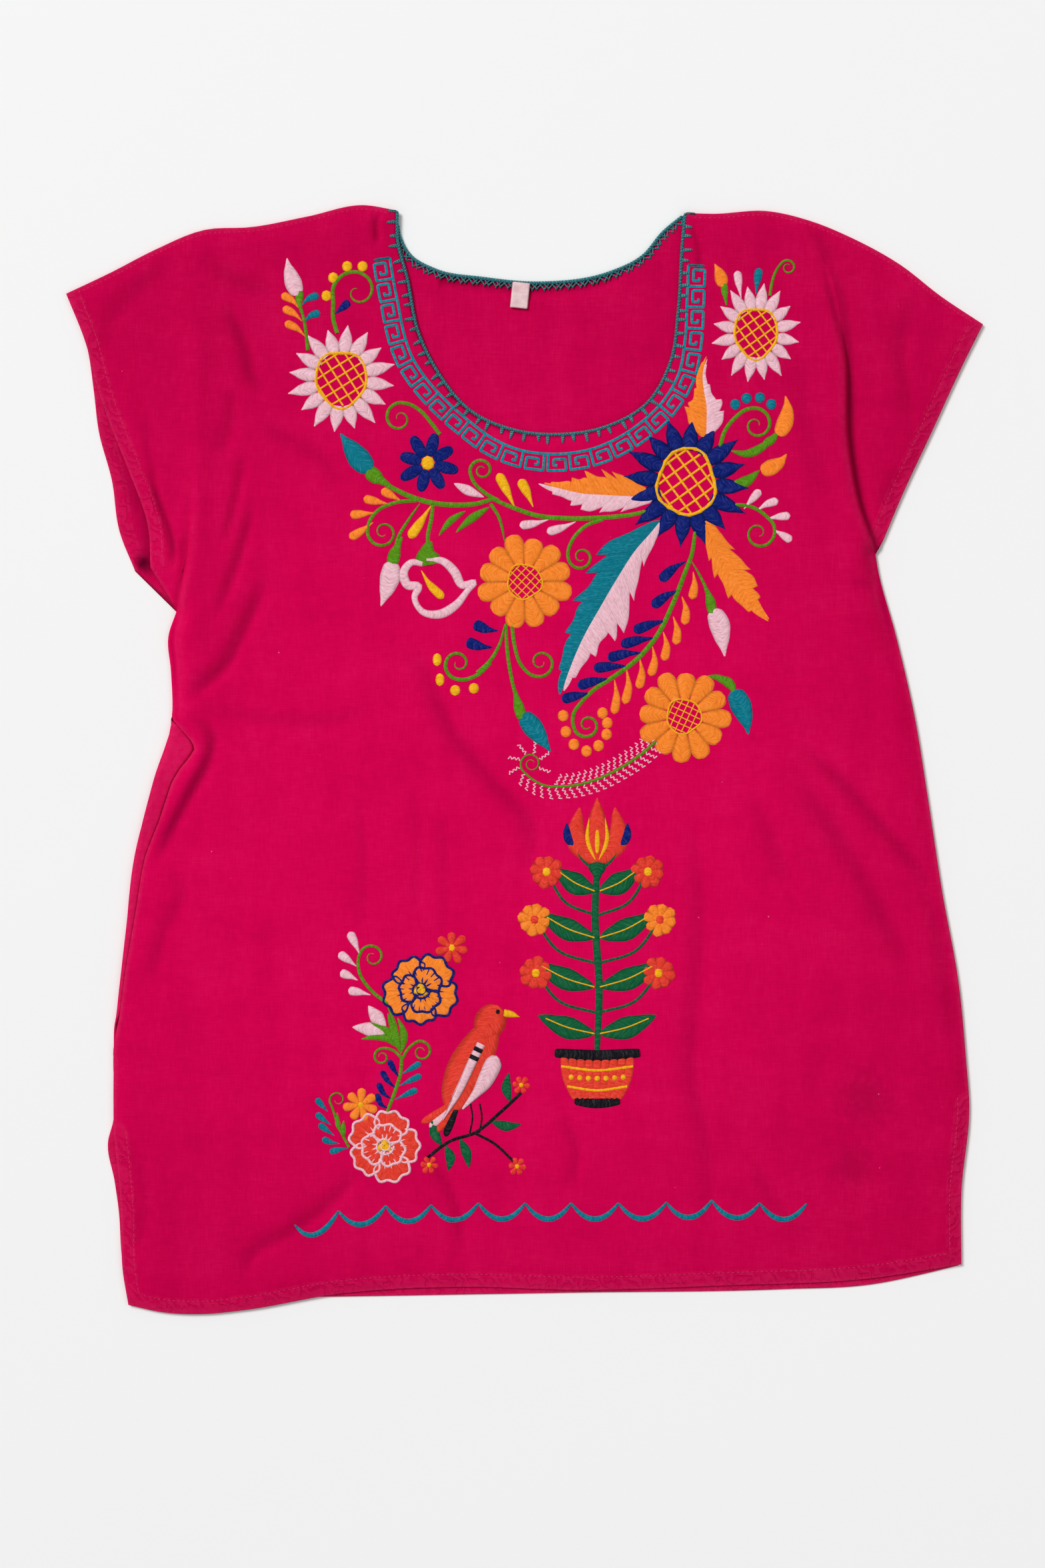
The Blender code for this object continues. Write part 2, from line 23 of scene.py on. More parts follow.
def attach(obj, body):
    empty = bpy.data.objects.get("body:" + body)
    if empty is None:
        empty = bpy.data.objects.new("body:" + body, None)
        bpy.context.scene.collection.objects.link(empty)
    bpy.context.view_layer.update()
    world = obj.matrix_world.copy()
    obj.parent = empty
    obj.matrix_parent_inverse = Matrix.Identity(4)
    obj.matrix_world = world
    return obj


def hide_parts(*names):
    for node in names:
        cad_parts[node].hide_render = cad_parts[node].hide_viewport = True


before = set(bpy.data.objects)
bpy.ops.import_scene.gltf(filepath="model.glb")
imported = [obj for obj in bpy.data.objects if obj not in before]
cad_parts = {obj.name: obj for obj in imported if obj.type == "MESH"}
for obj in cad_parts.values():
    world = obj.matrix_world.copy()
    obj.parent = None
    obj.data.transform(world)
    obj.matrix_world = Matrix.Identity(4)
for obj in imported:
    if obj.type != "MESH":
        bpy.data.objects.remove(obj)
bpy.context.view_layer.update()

LOG = logging.getLogger("blouse")

MM = 0.001
Array = np.ndarray
# A line's stations: rows that start with x and y, or one flat row of x and y by turns
Stations = Sequence[tuple[float, ...]] | Sequence[float] | Array

# The picture: its size in pixels, and where a pixel lies in the frame
PICTURE_WIDTH, PICTURE_HEIGHT = 1568, 2353
UNIT = 0.4
MIDDLE_X, MIDDLE_Y = 787.1, 1139.8

# Cloth, in millimetres
WALL = 1.2
SEAM_GAP = 0.3
BACK_MIDDLE = WALL / 2
FRONT_LOWEST = WALL + SEAM_GAP + WALL / 2
NECK_LIFT = 0.85
FRONT_FREE = 4.4
EDGE_REACH = 7.0
NECK_LIFT_REACH = 12.0
BACK_TUCK = 0.4  # how far the back stays inside the front along the right side
WELD = 0.02

# The side seam on the left lies on the front, so the back's cloth rolls over to meet it
ROLL_RADIUS = 1.35
ROLL_INSET = ROLL_RADIUS + WALL / 2
ROLL_TOP = BACK_MIDDLE + 2 * ROLL_RADIUS
ROLL_STEPS = 8
FULL_ROLL = 2.4

# Neck edging
CORD_RADIUS = 1.1
CORD_FLOOR_GAP = 0.1
NECK_EDGE = 1.5  # how far in from the edging's outer edge the cloth ends, under the cord
BACK_CORD_ENDS = ((-75.3, 322.0), (94.0, 327.0))

# Outline stations, (x, y) in millimetres. Each table runs upwards or left to right.
SHOULDER_LEFT = ((-275.4, 279.9), (-248.4, 292.7), (-221.6, 306.5), (-192.0, 318.3), (-164.4, 319.9),
                 (-130.4, 326.3), (-96.8, 333.1), (-75.4, 329.5))
SHOULDER_RIGHT = ((95.4, 328.3), (113.6, 327.9), (146.0, 329.5), (170.8, 323.9), (197.2, 313.1),
                  (226.0, 297.1), (249.6, 278.7), (275.4, 261.5))
FRONT_SLEEVE_LEFT = ((-224.8, 115.1), (-226.0, 138.7), (-237.2, 171.9), (-248.8, 200.7),
                     (-258.0, 227.9), (-263.2, 248.7), (-275.4, 279.9))
BACK_SLEEVE_LEFT = ((-234.0, 113.1), (-243.6, 137.5), (-248.0, 167.5), (-256.0, 197.5),
                    (-259.0, 222.0), (-263.2, 248.7), (-275.4, 279.9))
SLEEVE_RIGHT = ((215.4, 131.5), (226.4, 157.7), (244.0, 195.5), (264.4, 239.5), (275.4, 261.5))
HEM_FRONT = ((-238.0, -327.7), (-217.2, -332.1), (-192.4, -333.1), (-169.2, -330.9), (-112.0, -321.1),
             (-37.6, -316.9), (31.2, -318.7), (118.0, -316.1), (208.4, -311.7), (262.4, -303.3))
HEM_BACK = ((-238.8, -324.1), (-194.8, -324.1), (-116.8, -322.9), (31.2, -320.4), (154.4, -318.4),
            (208.4, -315.5), (244.4, -308.1), (260.8, -304.1))
RIGHT_SIDE = ((262.4, -303.3), (262.4, -260.1), (267.2, -208.5), (265.2, -180.1), (261.0, -136.1),
              (250.6, -77.7), (242.0, -21.3), (234.6, 24.3), (222.8, 75.5), (212.4, 113.5), (210.8, 123.1))
LEFT_SIDE = ((-238.8, -324.1), (-242.4, -296.1), (-243.9, -271.7), (-246.4, -253.7), (-250.4, -229.5),
             (-247.4, -218.0), (-247.2, -177.7), (-245.2, -153.3), (-239.8, -104.5), (-235.0, -61.7),
             (-223.6, -14.5), (-212.0, 23.9), (-212.4, 52.7), (-214.0, 74.0), (-209.2, 88.7))
FRONT_VENT_LEFT = ((-238.0, -327.7), (-241.4, -307.3), (-242.4, -271.7), (-244.6, -244.9), (-246.6, -226.1),
                   (-247.0, -204.0), (-246.8, -177.7))

# Necklines, measured on the outer edge of the edging, from the left tip round to the right one
NECK_FRONT = ((-75.4, 329.5), (-75.2, 312.0), (-69.6, 289.9), (-62.4, 255.9), (-50.8, 232.7),
              (-31.2, 209.9), (-5.2, 198.7), (20.8, 196.3), (46.8, 200.3), (73.2, 215.1),
              (86.8, 239.5), (91.2, 268.7), (93.6, 308.0), (95.4, 328.3))
NECK_BACK = ((-75.4, 329.5), (-74.0, 314.7), (-68.8, 304.7), (-52.8, 295.1), (-24.8, 290.3),
             (8.0, 287.5), (50.4, 293.5), (70.0, 303.1), (82.8, 317.9), (95.4, 328.3))

# Where the side seam lies on the front: how far it is in from the left side, at each height
# (y, over)
SEAM_OVER = ((-176.0, 0.0), (-152.0, 2.4), (-126.0, 2.9), (-106.0, 4.1), (-85.0, 5.6), (-58.0, 6.8),
             (-37.0, 10.4), (-14.0, 11.8), (-5.0, 14.2), (1.0, 17.2), (6.0, 18.4), (10.0, 16.2),
             (14.0, 11.6), (19.0, 5.6), (24.0, 1.0), (27.0, 0.0))


@dataclass(frozen=True)
class Crest:
    """A line where the body's cloth rolls over the sleeve, with its rise at each station."""

    stations: Stations  # (x, y, rise)
    body_side: int      # 1 where the body lies to the left of the line, taken upwards
    shade: float        # strength of the shade painted into the cloth at its foot

    def beside(self, points: Array) -> tuple[Array, Array]:
        """Where points lie beside the line.

        Args:
            points: rows that start with x and y
        Returns:
            distance from it towards the body, and its rise there
        """
        path = Path(self.stations)
        distance, share = path.reach(points)
        rise = np.interp(share, path.lengths / path.length, path.rows[:, 2])
        return distance * self.body_side, rise


CRESTS = (
    Crest(((-208.0, 26.0, 2.0), (-208.6, 52.0, 4.0), (-210.0, 74.0, 4.6), (-207.6, 92.0, 5.0),
           (-202.4, 118.3, 3.6), (-198.4, 167.9, 0.6), (-194.4, 210.7, 0.0), (-186.8, 255.9, 0.0),
           (-154.8, 321.7, 0.0)), -1, 0.6),
    Crest(((222.6, 62.0, 0.0), (213.6, 98.0, 3.5), (210.0, 123.0, 6.0), (200.4, 152.0, 6.0),
           (193.6, 190.0, 5.6), (191.6, 250.3, 4.0), (183.0, 292.0, 1.4), (165.2, 325.4, 0.0)), 1, 1.0),
)

# How the cloth climbs over a crest: distance from it towards the body, and share of the rise
CREST_PROFILE = ((-7.0, 0.0), (-3.0, 0.03), (-1.2, 0.14), (-0.3, 0.38), (0.0, 0.55), (0.9, 0.82),
                 (2.6, 0.97), (6.0, 1.0), (18.0, 0.7), (36.0, 0.2), (60.0, 0.0))


@dataclass(frozen=True)
class Fold:
    """A soft ridge or trough: its line, how far it spreads on each side of it, and its rise."""

    line: Stations
    left_spread: float
    right_spread: float
    rise: float

    def share(self, points: Array) -> Array:
        """How far into the fold each point lies.

        Args:
            points: rows that start with x and y
        Returns:
            a number each, from 0 to 1
        """
        distance, along = Path(self.line).reach(points)
        spread = np.where(distance > 0, self.left_spread, self.right_spread)
        fade = np.clip(np.minimum(along, 1 - along) / FOLD_FADE, 0, 1)
        return np.exp(-(distance / spread) ** 2) * fade * (2 - fade)


FOLDS = tuple(Fold(*row) for row in (
    # Left yoke and chest
    ((-196, 302, -174, 288, -150, 280), 6, 7, -1.1),
    ((-198, 290, -197, 281, -196.4, 234, -196.4, 182, -197, 133, -200, 100), 8, 9, 1.8),
    ((-178, 274, -175, 264, -167.6, 246.7, -164, 230.7, -155, 217), 3.4, 5, -2.2),
    ((-162, 205, -146.8, 194.3, -127.6, 185.5, -108, 163), 4, 6, -1.1),
    ((-176, 224, -177.2, 199.5, -184, 180), 4, 5, -1.3),
    ((-168, 184, -173.6, 156, -180, 128), 2.6, 3, -1.8),
    ((-162, 156, -169.2, 128.3, -174.4, 112.7, -184, 86), 3, 4, -1.9),
    # Left sleeve
    ((-224, 172, -220.4, 158, -211.2, 130, -210, 114), 2.0, 3.0, -3.4),
    ((-226, 204, -226, 186, -220, 160), 3, 3, -1.0),
    ((-205, 134, -204, 108), 3, 3, -1.6),
    ((-209, 306, -229, 286, -251, 260, -252, 240), 7, 7, -1.0),
    ((-248, 240, -234, 200, -226, 170, -220, 140), 6, 5, 0.9),
    # Left armpit and flank
    ((-154, 110, -169, 77, -178, 59, -193, 44, -204, 35), 4, 5.5, -2.6),
    ((-200, 27, -188, 14, -191, -2, -202, -22, -215, -47, -221, -64), 4, 5, -3.3),
    ((-200, 19, -196, 8, -202, -12, -213, -36, -222, -56), 5, 4.5, 2.6),
    ((-193, 29, -160, 25, -133, 23, -85, 30), 5, 7, -0.75),
    ((-216, -66, -206, -76, -216, -104, -226, -136), 4, 6, -1.2),
    ((-236, -226, -228, -262, -234, -300), 4, 6, -0.9),
    # Middle
    ((-66, 70, -58.6, 52.9, -43.7, 17.1, -19.8, -12.8, 3, -39.7, 4, -72), 4.5, 7.5, -1.7),
    ((-100, -20, -96, -60, -98, -106), 3, 4, -0.7),
    ((-68, -10, -64, -50, -66, -100), 3, 4, -0.6),
    ((-50, -30, -47, -70, -50, -115), 3, 4, -0.6),
    # Right flank
    ((165, 8, 189.5, -12.8, 213.4, -39.7, 238.5, -69.6, 246, -82), 4, 6, -1.9),
    ((159, 0, 174, -26, 190, -50, 207, -80, 221, -108, 231, -140), 6, 8, -1.5),
    ((237, -67, 250, -120, 256, -180), 4, 5, -0.9),
    ((99.8, -30, 104.6, -78, 102.8, -138, 99.8, -186, 108.8, -234, 112, -290), 5, 7, -1.2),
    ((135.7, -18.8, 147.6, -48.7, 159.6, -78.6), 5, 6, -0.9),
    # Along the hem
    ((-99, -242, -103.5, -252, -121.4, -270, -142.3, -285, -163.3, -297, -170, -318), 3.5, 5.5, -1.7),
    ((-58, -230, -56.8, -237, -46.7, -255, -40.7, -270, -38, -300), 3, 4.5, -1.7),
    ((22, -214, 31, -234, 28, -258), 3, 4, -1.3),
    ((135.7, -234, 147.6, -264, 171.5, -288), 4, 5, -0.9),
    # Neck and right shoulder
    ((-88, 328, -89, 322, -88, 309), 2.0, 2.4, -2.6),
    ((99.8, 322, 104, 310, 106, 290), 2.2, 2.6, -1.7),
    ((174, 319, 186, 296), 5, 5, -1.1),
    ((178, 304, 188.5, 262, 195.8, 229, 197, 190, 204, 152, 212, 128), 2.6, 2.8, -2.6),
    ((160, 250, 168, 200, 180, 150), 8, 10, -0.9),
    ((236, 280, 225.4, 250.2, 229, 220.3, 231, 196), 5, 6, -1.2),
    ((226, 176, 214, 149), 4, 5, -1.1),
    ((196, 106, 210, 102), 3, 3, -1.0),
))


CRUMPLES = ((34.0, 0.34), (13.0, 0.12))  # wavelength and rise of the cloth's unevenness
CRUMPLE_SEED = 7.3

# Mesh density
SEAM_PEAK = 6.0
GRID = 3.0
BACK_GRID = 6.0
CHEST_SHARE = 0.36  # of a crest's length, from the armpit up
SLEEVE_REACH = 62.0
NECK_CORNERS_FRONT = ((-41.0, 219.0), (74.0, 214.0))
NECK_CORNERS_BACK = ((-50.0, 293.0), (56.0, 293.0))
RIM_ROWS = (0.12, 0.35, 0.8)
SLEEVE_COLUMNS = (0.3, 0.7, 1.3, 2.2)
COLUMN_FIT = 0.85  # share of a patch's next column that the extra ones may take up
FOLD_FADE = 0.3    # share of a fold's length over which each end dies away
FULL_HOLLOW, FULL_CREST = 4.0, 5.0  # depth of a trough and rise of a crest at which the painted shade is darkest; the rise also sets the crests' wear
LEFT_HALF = -150.0  # x that the left seam's strip stays left of
SPAN_SAMPLES, NECK_SAMPLES, CREST_SAMPLES, SIDE_SAMPLES = 12, 80, 60, 60
CHUNK = 6000
SEAM_LAP = 0.25     # how far the front's rim lies over the back's at the left seam


def unit_rows(rows: Array) -> Array:
    """The rows, each brought to a length of 1."""
    return rows / np.maximum(np.linalg.norm(rows, axis=-1, keepdims=True), 1e-9)


def run(points: Array) -> Array:
    """Distance of each point from the first, along the line that they make."""
    return np.concatenate([[0.0], np.cumsum(np.linalg.norm(np.diff(points, axis=0), axis=1))])


class Path:
    """A smooth line through stations, read by its share of the length."""

    def __init__(self, stations: Stations, smooth: bool = True) -> None:
        """Keeps the line's points and their places along it.

        Args:
            stations: rows that start with x and y, or a flat row of x and y by turns
            smooth: False keeps straight spans between the stations
        """
        rows = np.array(stations, float)
        rows = rows if rows.ndim == 2 else rows.reshape(-1, 2)
        rows = rows[np.concatenate([[True], np.diff(run(rows[:, :2])) > 1e-6])]
        self.rows = self.smoothed(rows) if smooth and len(rows) > 2 else rows
        self.lengths = run(self.rows[:, :2])
        self.length = float(self.lengths[-1])

    @staticmethod
    def smoothed(rows: Array) -> Array:
        """Fills in Hermite spans whose tangents follow the neighbouring stations.

        Args:
            rows: the stations
        Returns:
            many more rows
        """
        places = run(rows[:, :2])
        slopes = np.gradient(rows, places, axis=0)
        share = np.linspace(0, 1, SPAN_SAMPLES, endpoint=False)[:, None]
        spans = [
            (2 * share**3 - 3 * share**2 + 1) * rows[i]
            + (share**3 - 2 * share**2 + share) * step * slopes[i]
            + (3 * share**2 - 2 * share**3) * rows[i + 1]
            + (share**3 - share**2) * step * slopes[i + 1]
            for i, step in enumerate(np.diff(places))
        ]
        return np.concatenate([*spans, rows[-1:]])

    def at(self, shares: Array | float) -> Array:
        """Points at these shares of the length."""
        places = np.asarray(shares, float) * self.length
        return np.stack([np.interp(places, self.lengths, c) for c in self.rows.T], axis=-1)

    def ahead(self, shares: Array | float, step: float) -> Array:
        """The line's direction at these shares, from points a step to each side."""
        shares = np.asarray(shares, float)
        return unit_rows(self.at(np.minimum(shares + step, 1)) - self.at(np.maximum(shares - step, 0)))

    def share_near(self, x: float, y: float) -> float:
        """Share of the length at the point of the line nearest to (x, y)."""
        nearest = np.argmin(np.hypot(self.rows[:, 0] - x, self.rows[:, 1] - y))
        return float(self.lengths[nearest] / self.length)

    def at_heights(self, heights: Array) -> Array:
        """Points of an upright line at these heights."""
        return np.stack([np.interp(heights, self.rows[:, 1], self.rows[:, 0]), heights], axis=1)

    def part(self, start: float, end: float, count: int) -> Array:
        """count + 1 even points from one share of the length to another."""
        return self.at(np.linspace(start, end, count + 1))

    def reach(self, points: Array) -> tuple[Array, Array]:
        """Where points lie beside the line.

        Args:
            points: rows that start with x and y
        Returns:
            signed distance, positive to the left of the line, and share of the length
        """
        starts, ends = self.rows[:-1, :2], self.rows[1:, :2]
        along = ends - starts
        size = np.maximum((along**2).sum(1), 1e-12)
        distances, shares = [], []
        for first in range(0, len(points), CHUNK):
            some = points[first:first + CHUNK, :2]
            offset = some[:, None, :] - starts[None]
            share = np.clip((offset * along).sum(2) / size, 0, 1)
            gap = offset - share[..., None] * along
            squared = (gap**2).sum(2)
            nearest = squared.argmin(axis=1)
            row = np.arange(len(some))
            turn = (along[nearest, 0] * offset[row, nearest, 1]
                    - along[nearest, 1] * offset[row, nearest, 0])
            place = self.lengths[nearest] + share[row, nearest] * np.sqrt(size[nearest])
            distances.append(np.where(turn >= 0, 1, -1) * np.sqrt(squared[row, nearest]))
            shares.append(place / self.length)
        return np.concatenate(distances), np.concatenate(shares)


def offset_line(points: Array, distance: float | Array) -> Array:
    """Moves points to the left of the line that they make, or to the right by less than 0."""
    along = unit_rows(np.gradient(points, axis=0))
    return points + np.stack([-along[:, 1], along[:, 0]], axis=1) * np.reshape(distance, (-1, 1))


def coons(bottom: Array, top: Array, left: Array, right: Array) -> Array:
    """Fills a patch between four sides that share their corners.

    Args:
        bottom, top: points from left to right
        left, right: points from bottom to top
    Returns:
        grid of points whose rows run upwards and columns to the right
    """
    across = np.linspace(0, 1, len(bottom))[None, :, None]
    up = np.linspace(0, 1, len(left))[:, None, None]
    between_rows = (1 - up) * bottom[None] + up * top[None]
    between_columns = (1 - across) * left[:, None] + across * right[:, None]
    corners = ((1 - across) * (1 - up) * bottom[0] + across * (1 - up) * bottom[-1]
               + (1 - across) * up * top[0] + across * up * top[-1])
    return between_rows + between_columns - corners


class Side(Enum):
    """A side of a patch: its axis in the grid, and whether it is at the end."""

    BOTTOM = (0, False)
    TOP = (0, True)
    LEFT = (1, False)
    RIGHT = (1, True)


def graded(patch: Array, distances: Sequence[float], side: Side) -> Array:
    """Adds columns or rows to a patch close to one of its sides.

    Args:
        patch: grid of points
        distances: how far each extra line is from the side
        side: which side
    Returns:
        the grid with its extra lines
    """
    axis, at_end = side.value
    lines = patch.swapaxes(0, axis)[::-1 if at_end else 1]
    gap = lines[1] - lines[0]
    width = np.maximum(np.linalg.norm(gap, axis=1, keepdims=True), 1e-6)
    fit = np.minimum(1.0, COLUMN_FIT * width / distances[-1])
    extra = [lines[0] + gap / width * fit * distance for distance in distances]
    lines = np.concatenate([lines[:1], extra, lines[1:]])
    return lines[::-1 if at_end else 1].swapaxes(0, axis)


def seam_over(y: Array | float) -> Array:
    """How far the left seam lies in from the left side at height y."""
    heights, over = zip(*SEAM_OVER)
    return np.interp(y, heights, over, left=0.0, right=0.0)


def steps_for(length: float, size: float, least: int = 1) -> int:
    """How many steps of about a size make up a length."""
    return max(least, round(length / size))


# Extra lines of the patches: along their rims, and beside the crests
PATCH_LINES = (
    (Side.LEFT, RIM_ROWS, ("body", "chest", "yoke_left")),
    (Side.RIGHT, RIM_ROWS, ("body", "chest", "yoke_right")),
    (Side.BOTTOM, RIM_ROWS, ("body",)),
    (Side.RIGHT, SLEEVE_COLUMNS, ("sleeve_left",)), (Side.LEFT, SLEEVE_COLUMNS, ("sleeve_right",)),
    (Side.LEFT, RIM_ROWS, ("sleeve_left",)), (Side.RIGHT, RIM_ROWS, ("sleeve_right",)),
    (Side.TOP, RIM_ROWS, ("yoke_left", "yoke_right", "sleeve_left", "sleeve_right")),
)


@dataclass
class Cut:
    """The lines that one panel is cut to, and how finely it is meshed."""

    left_side: Path
    right_side: Path
    hem: Path
    sleeve_left: Path
    sleeve_right: Path
    neck: Path
    neck_corners: Stations
    heights: Array
    grid: float

    @staticmethod
    def left_edge() -> Array:
        """The left side.

        Returns:
            points, one for each row of the mesh, with one at the seam's innermost point
        """
        low, high = LEFT_SIDE[0][1], LEFT_SIDE[-1][1]
        below = np.linspace(low, SEAM_PEAK, steps_for(SEAM_PEAK - low, GRID) + 1)
        above = np.linspace(SEAM_PEAK, high, steps_for(high - SEAM_PEAK, GRID) + 1)
        return Path(LEFT_SIDE).at_heights(np.concatenate([below, above[1:]]))

    @staticmethod
    def neck_line(stations: Stations) -> Path:
        """The cloth's own edge at the neck, in from the edging's outer edge."""
        return Path(offset_line(Path(stations).part(0, 1, NECK_SAMPLES), -NECK_EDGE), smooth=False)

    @staticmethod
    def crest_line(crest: Crest, start: Array) -> Path:
        """The crest from the armpit up to the shoulder.

        Args:
            crest: which one
            start: the armpit
        Returns:
            its line
        """
        whole = Path([station[:2] for station in crest.stations])
        line = whole.part(whole.share_near(*start), 1, CREST_SAMPLES)
        line[0] = start
        return Path(line, smooth=False)

    @classmethod
    def front(cls) -> "Cut":
        """Lines of the front panel. On the left it stops at the seam, in from the side.

        Returns:
            the cut
        """
        side = cls.left_edge()
        over = seam_over(side[:, 1])
        side[:, 0] += over - SEAM_LAP * (over > 0)
        vent = Path(FRONT_VENT_LEFT).at_heights(side[:, 1])
        side = np.where(side[:, 1:] < FRONT_VENT_LEFT[-1][1], vent, side)
        return cls(Path(side, smooth=False), Path(RIGHT_SIDE), Path(HEM_FRONT),
                   Path(FRONT_SLEEVE_LEFT), Path(SLEEVE_RIGHT), cls.neck_line(NECK_FRONT),
                   NECK_CORNERS_FRONT, side[:, 1], GRID)

    @classmethod
    def back(cls) -> "Cut":
        """Lines of the back panel. On the left it stops where its cloth starts to roll over.

        Returns:
            the cut
        """
        side = cls.left_edge()
        side[:, 0] += ROLL_INSET * np.minimum(seam_over(side[:, 1]) / FULL_ROLL, 1.0)
        right = Path(RIGHT_SIDE).part(0, 1, SIDE_SAMPLES)
        right[:, 0] -= BACK_TUCK * np.sin(np.linspace(0, math.pi, len(right)))
        right[0] = HEM_BACK[-1]
        return cls(Path(side, smooth=False), Path(right, smooth=False), Path(HEM_BACK),
                   Path(BACK_SLEEVE_LEFT), Path(SLEEVE_RIGHT), cls.neck_line(NECK_BACK),
                   NECK_CORNERS_BACK, side[:, 1], BACK_GRID)

    def edges(self) -> tuple[Path, ...]:
        """Every line where this panel ends.

        Returns:
            the lines, with the neck first
        """
        under_left = Path((self.sleeve_left.rows[0], self.left_side.rows[-1]), smooth=False)
        return (self.neck, Path(SHOULDER_LEFT), Path(SHOULDER_RIGHT), self.sleeve_left,
                self.sleeve_right, self.left_side, self.right_side, self.hem, under_left)

    def patches(self) -> dict[str, Array]:
        """Lays out the flat patches of the panel.

        Returns:
            body, chest, two yokes and two sleeves, as grids of x and y
        """
        grid = self.grid
        pits = self.left_side.at(1.0), self.right_side.at(1.0)
        crests = [self.crest_line(crest, pit) for crest, pit in zip(CRESTS, pits)]
        corners = [self.neck.share_near(*corner) for corner in self.neck_corners]
        neck = steps_for(self.neck.length * (corners[1] - corners[0]), grid, 6)
        side = steps_for((self.hem.length - neck * grid) / 2, grid, 3)
        chest_rows, yoke_rows = (steps_for(part * crests[0].length, grid)
                                 for part in (CHEST_SHARE, 1 - CHEST_SHARE))
        sleeve = steps_for(SLEEVE_REACH, grid)

        pit_row = np.linspace(*pits, 2 * side + neck + 1)
        body_left = self.left_side.at_heights(self.heights)
        body_left[0] = self.hem.at(0.0)
        body = coons(self.hem.part(0, 1, 2 * side + neck), pit_row, body_left,
                     self.right_side.part(0, 1, len(body_left) - 1))
        low = [crest.part(0, CHEST_SHARE, chest_rows) for crest in crests]
        bottom = self.neck.part(*corners, neck)
        rows = (np.linspace(low[0][-1], bottom[0], side + 1), np.linspace(bottom[-1], low[1][-1], side + 1))
        chest = coons(pit_row, np.concatenate([rows[0][:-1], bottom, rows[1][1:]]), *low)

        # On the right each pair of sides and ends changes places
        yokes, sleeves = {}, {}
        for hand, name in enumerate(("left", "right")):
            order = slice(None, None, 1 - 2 * hand)
            shoulder = Path((SHOULDER_LEFT, SHOULDER_RIGHT)[hand])
            hem = (self.sleeve_left, self.sleeve_right)[hand]
            high = crests[hand].part(CHEST_SHARE, 1, yoke_rows)
            rim = self.neck.part(corners[hand], hand, yoke_rows)
            top, end = shoulder.share_near(*high[-1]), shoulder.share_near(*rim[-1])
            yoke_top = shoulder.part(min(top, end), max(top, end), side)
            high[-1], rim[-1] = yoke_top[-hand], yoke_top[hand - 1]
            inner = np.concatenate([low[hand], high[1:]])
            outer = hem.part(0, 1, chest_rows + yoke_rows)
            yokes[f"yoke_{name}"] = coons(rows[hand], yoke_top, *(high, rim)[order])
            sleeves[f"sleeve_{name}"] = coons(
                np.linspace(*(hem.at(0.0), inner[0])[order], sleeve + 1),
                shoulder.part(*sorted((top, hand)), sleeve), *(outer, inner)[order])
        found = {"body": body, "chest": chest, **yokes, **sleeves}
        for edge, distances, names in PATCH_LINES:
            for name in names:
                found[name] = graded(found[name], distances, edge)
        return found


def crumple(points: Array) -> Array:
    """Small unevenness of the cloth, as a rise at each point."""
    return sum(height * np.array([noise.noise(Vector((x / wavelength, y / wavelength, CRUMPLE_SEED)))
                                  for x, y in points]) for wavelength, height in CRUMPLES)


class FrontSurface:
    """Height of the front panel's middle surface, with a fast table of it for the embroidery."""

    SPACING = 2.0
    LOW, HIGH = (-190.0, -310.0), (190.0, 326.0)

    def __init__(self, cut: Cut) -> None:
        """Works out the table.

        Args:
            cut: lines of the front panel
        """
        self.edges = cut.edges()
        columns, rows = (np.linspace(low, high, steps_for(high - low, self.SPACING) + 1)
                         for low, high in zip(self.LOW, self.HIGH))
        flat = np.stack(np.meshgrid(columns, rows), axis=-1)
        self.table = self.middle(flat.reshape(-1, 2)).reshape(flat.shape[:2])

    def middle(self, points: Array) -> Array:
        """Height of the middle surface: low at the panel's edges, with the folds between them.

        Args:
            points: rows of x and y
        Returns:
            a height for each
        """
        rise = crumple(points) + sum(fold.rise * fold.share(points) for fold in FOLDS)
        for crest in CRESTS:
            distance, height = crest.beside(points)
            rise += height * np.interp(distance, *zip(*CREST_PROFILE))
        found = [np.abs(edge.reach(points)[0]) for edge in self.edges]
        over = np.minimum(seam_over(points[:, 1]) / FULL_ROLL, 1.0) * (points[:, 0] < LEFT_HALF)
        low = (FRONT_LOWEST + over * (ROLL_TOP - FRONT_LOWEST)
               + NECK_LIFT * np.exp(-(found[0] / NECK_LIFT_REACH) ** 2))
        free = 1 - np.exp(-(np.min(found, axis=0) / EDGE_REACH) ** 2)
        return np.maximum(low + (FRONT_FREE + rise - low) * free, FRONT_LOWEST)

    @staticmethod
    def painted_fold_shade(points: Array) -> Array:
        """Strength of the shade painted into the troughs of the folds and at the foot of each crest.

        Args:
            points: rows that start with x and y
        Returns:
            a number each, up to 1
        """
        found = [-fold.rise / FULL_HOLLOW * fold.share(points) ** 1.5 for fold in FOLDS if fold.rise < 0]
        for crest in CRESTS:
            distance, height = crest.beside(points)
            found.append(crest.shade * np.clip(height / FULL_CREST, 0, 1)
                         * np.exp(-((distance + 1.8) / 2.4) ** 2))
        return np.max(found, axis=0)

    def top(self, points: Array) -> Array:
        """Height of the cloth's top side, read from the table.

        Args:
            points: array whose last axis is x and y
        Returns:
            array of heights
        """
        last = np.array(self.table.shape[::-1]) - 1.001
        place = np.clip((points - self.LOW) / self.SPACING, 0, last)
        x, y = np.moveaxis(place.astype(int), -1, 0)
        across, up = np.moveaxis(place % 1, -1, 0)
        low, high = (self.table[row, x] * (1 - across) + self.table[row, x + 1] * across
                     for row in (y, y + 1))
        return low * (1 - up) + high * up + WALL / 2


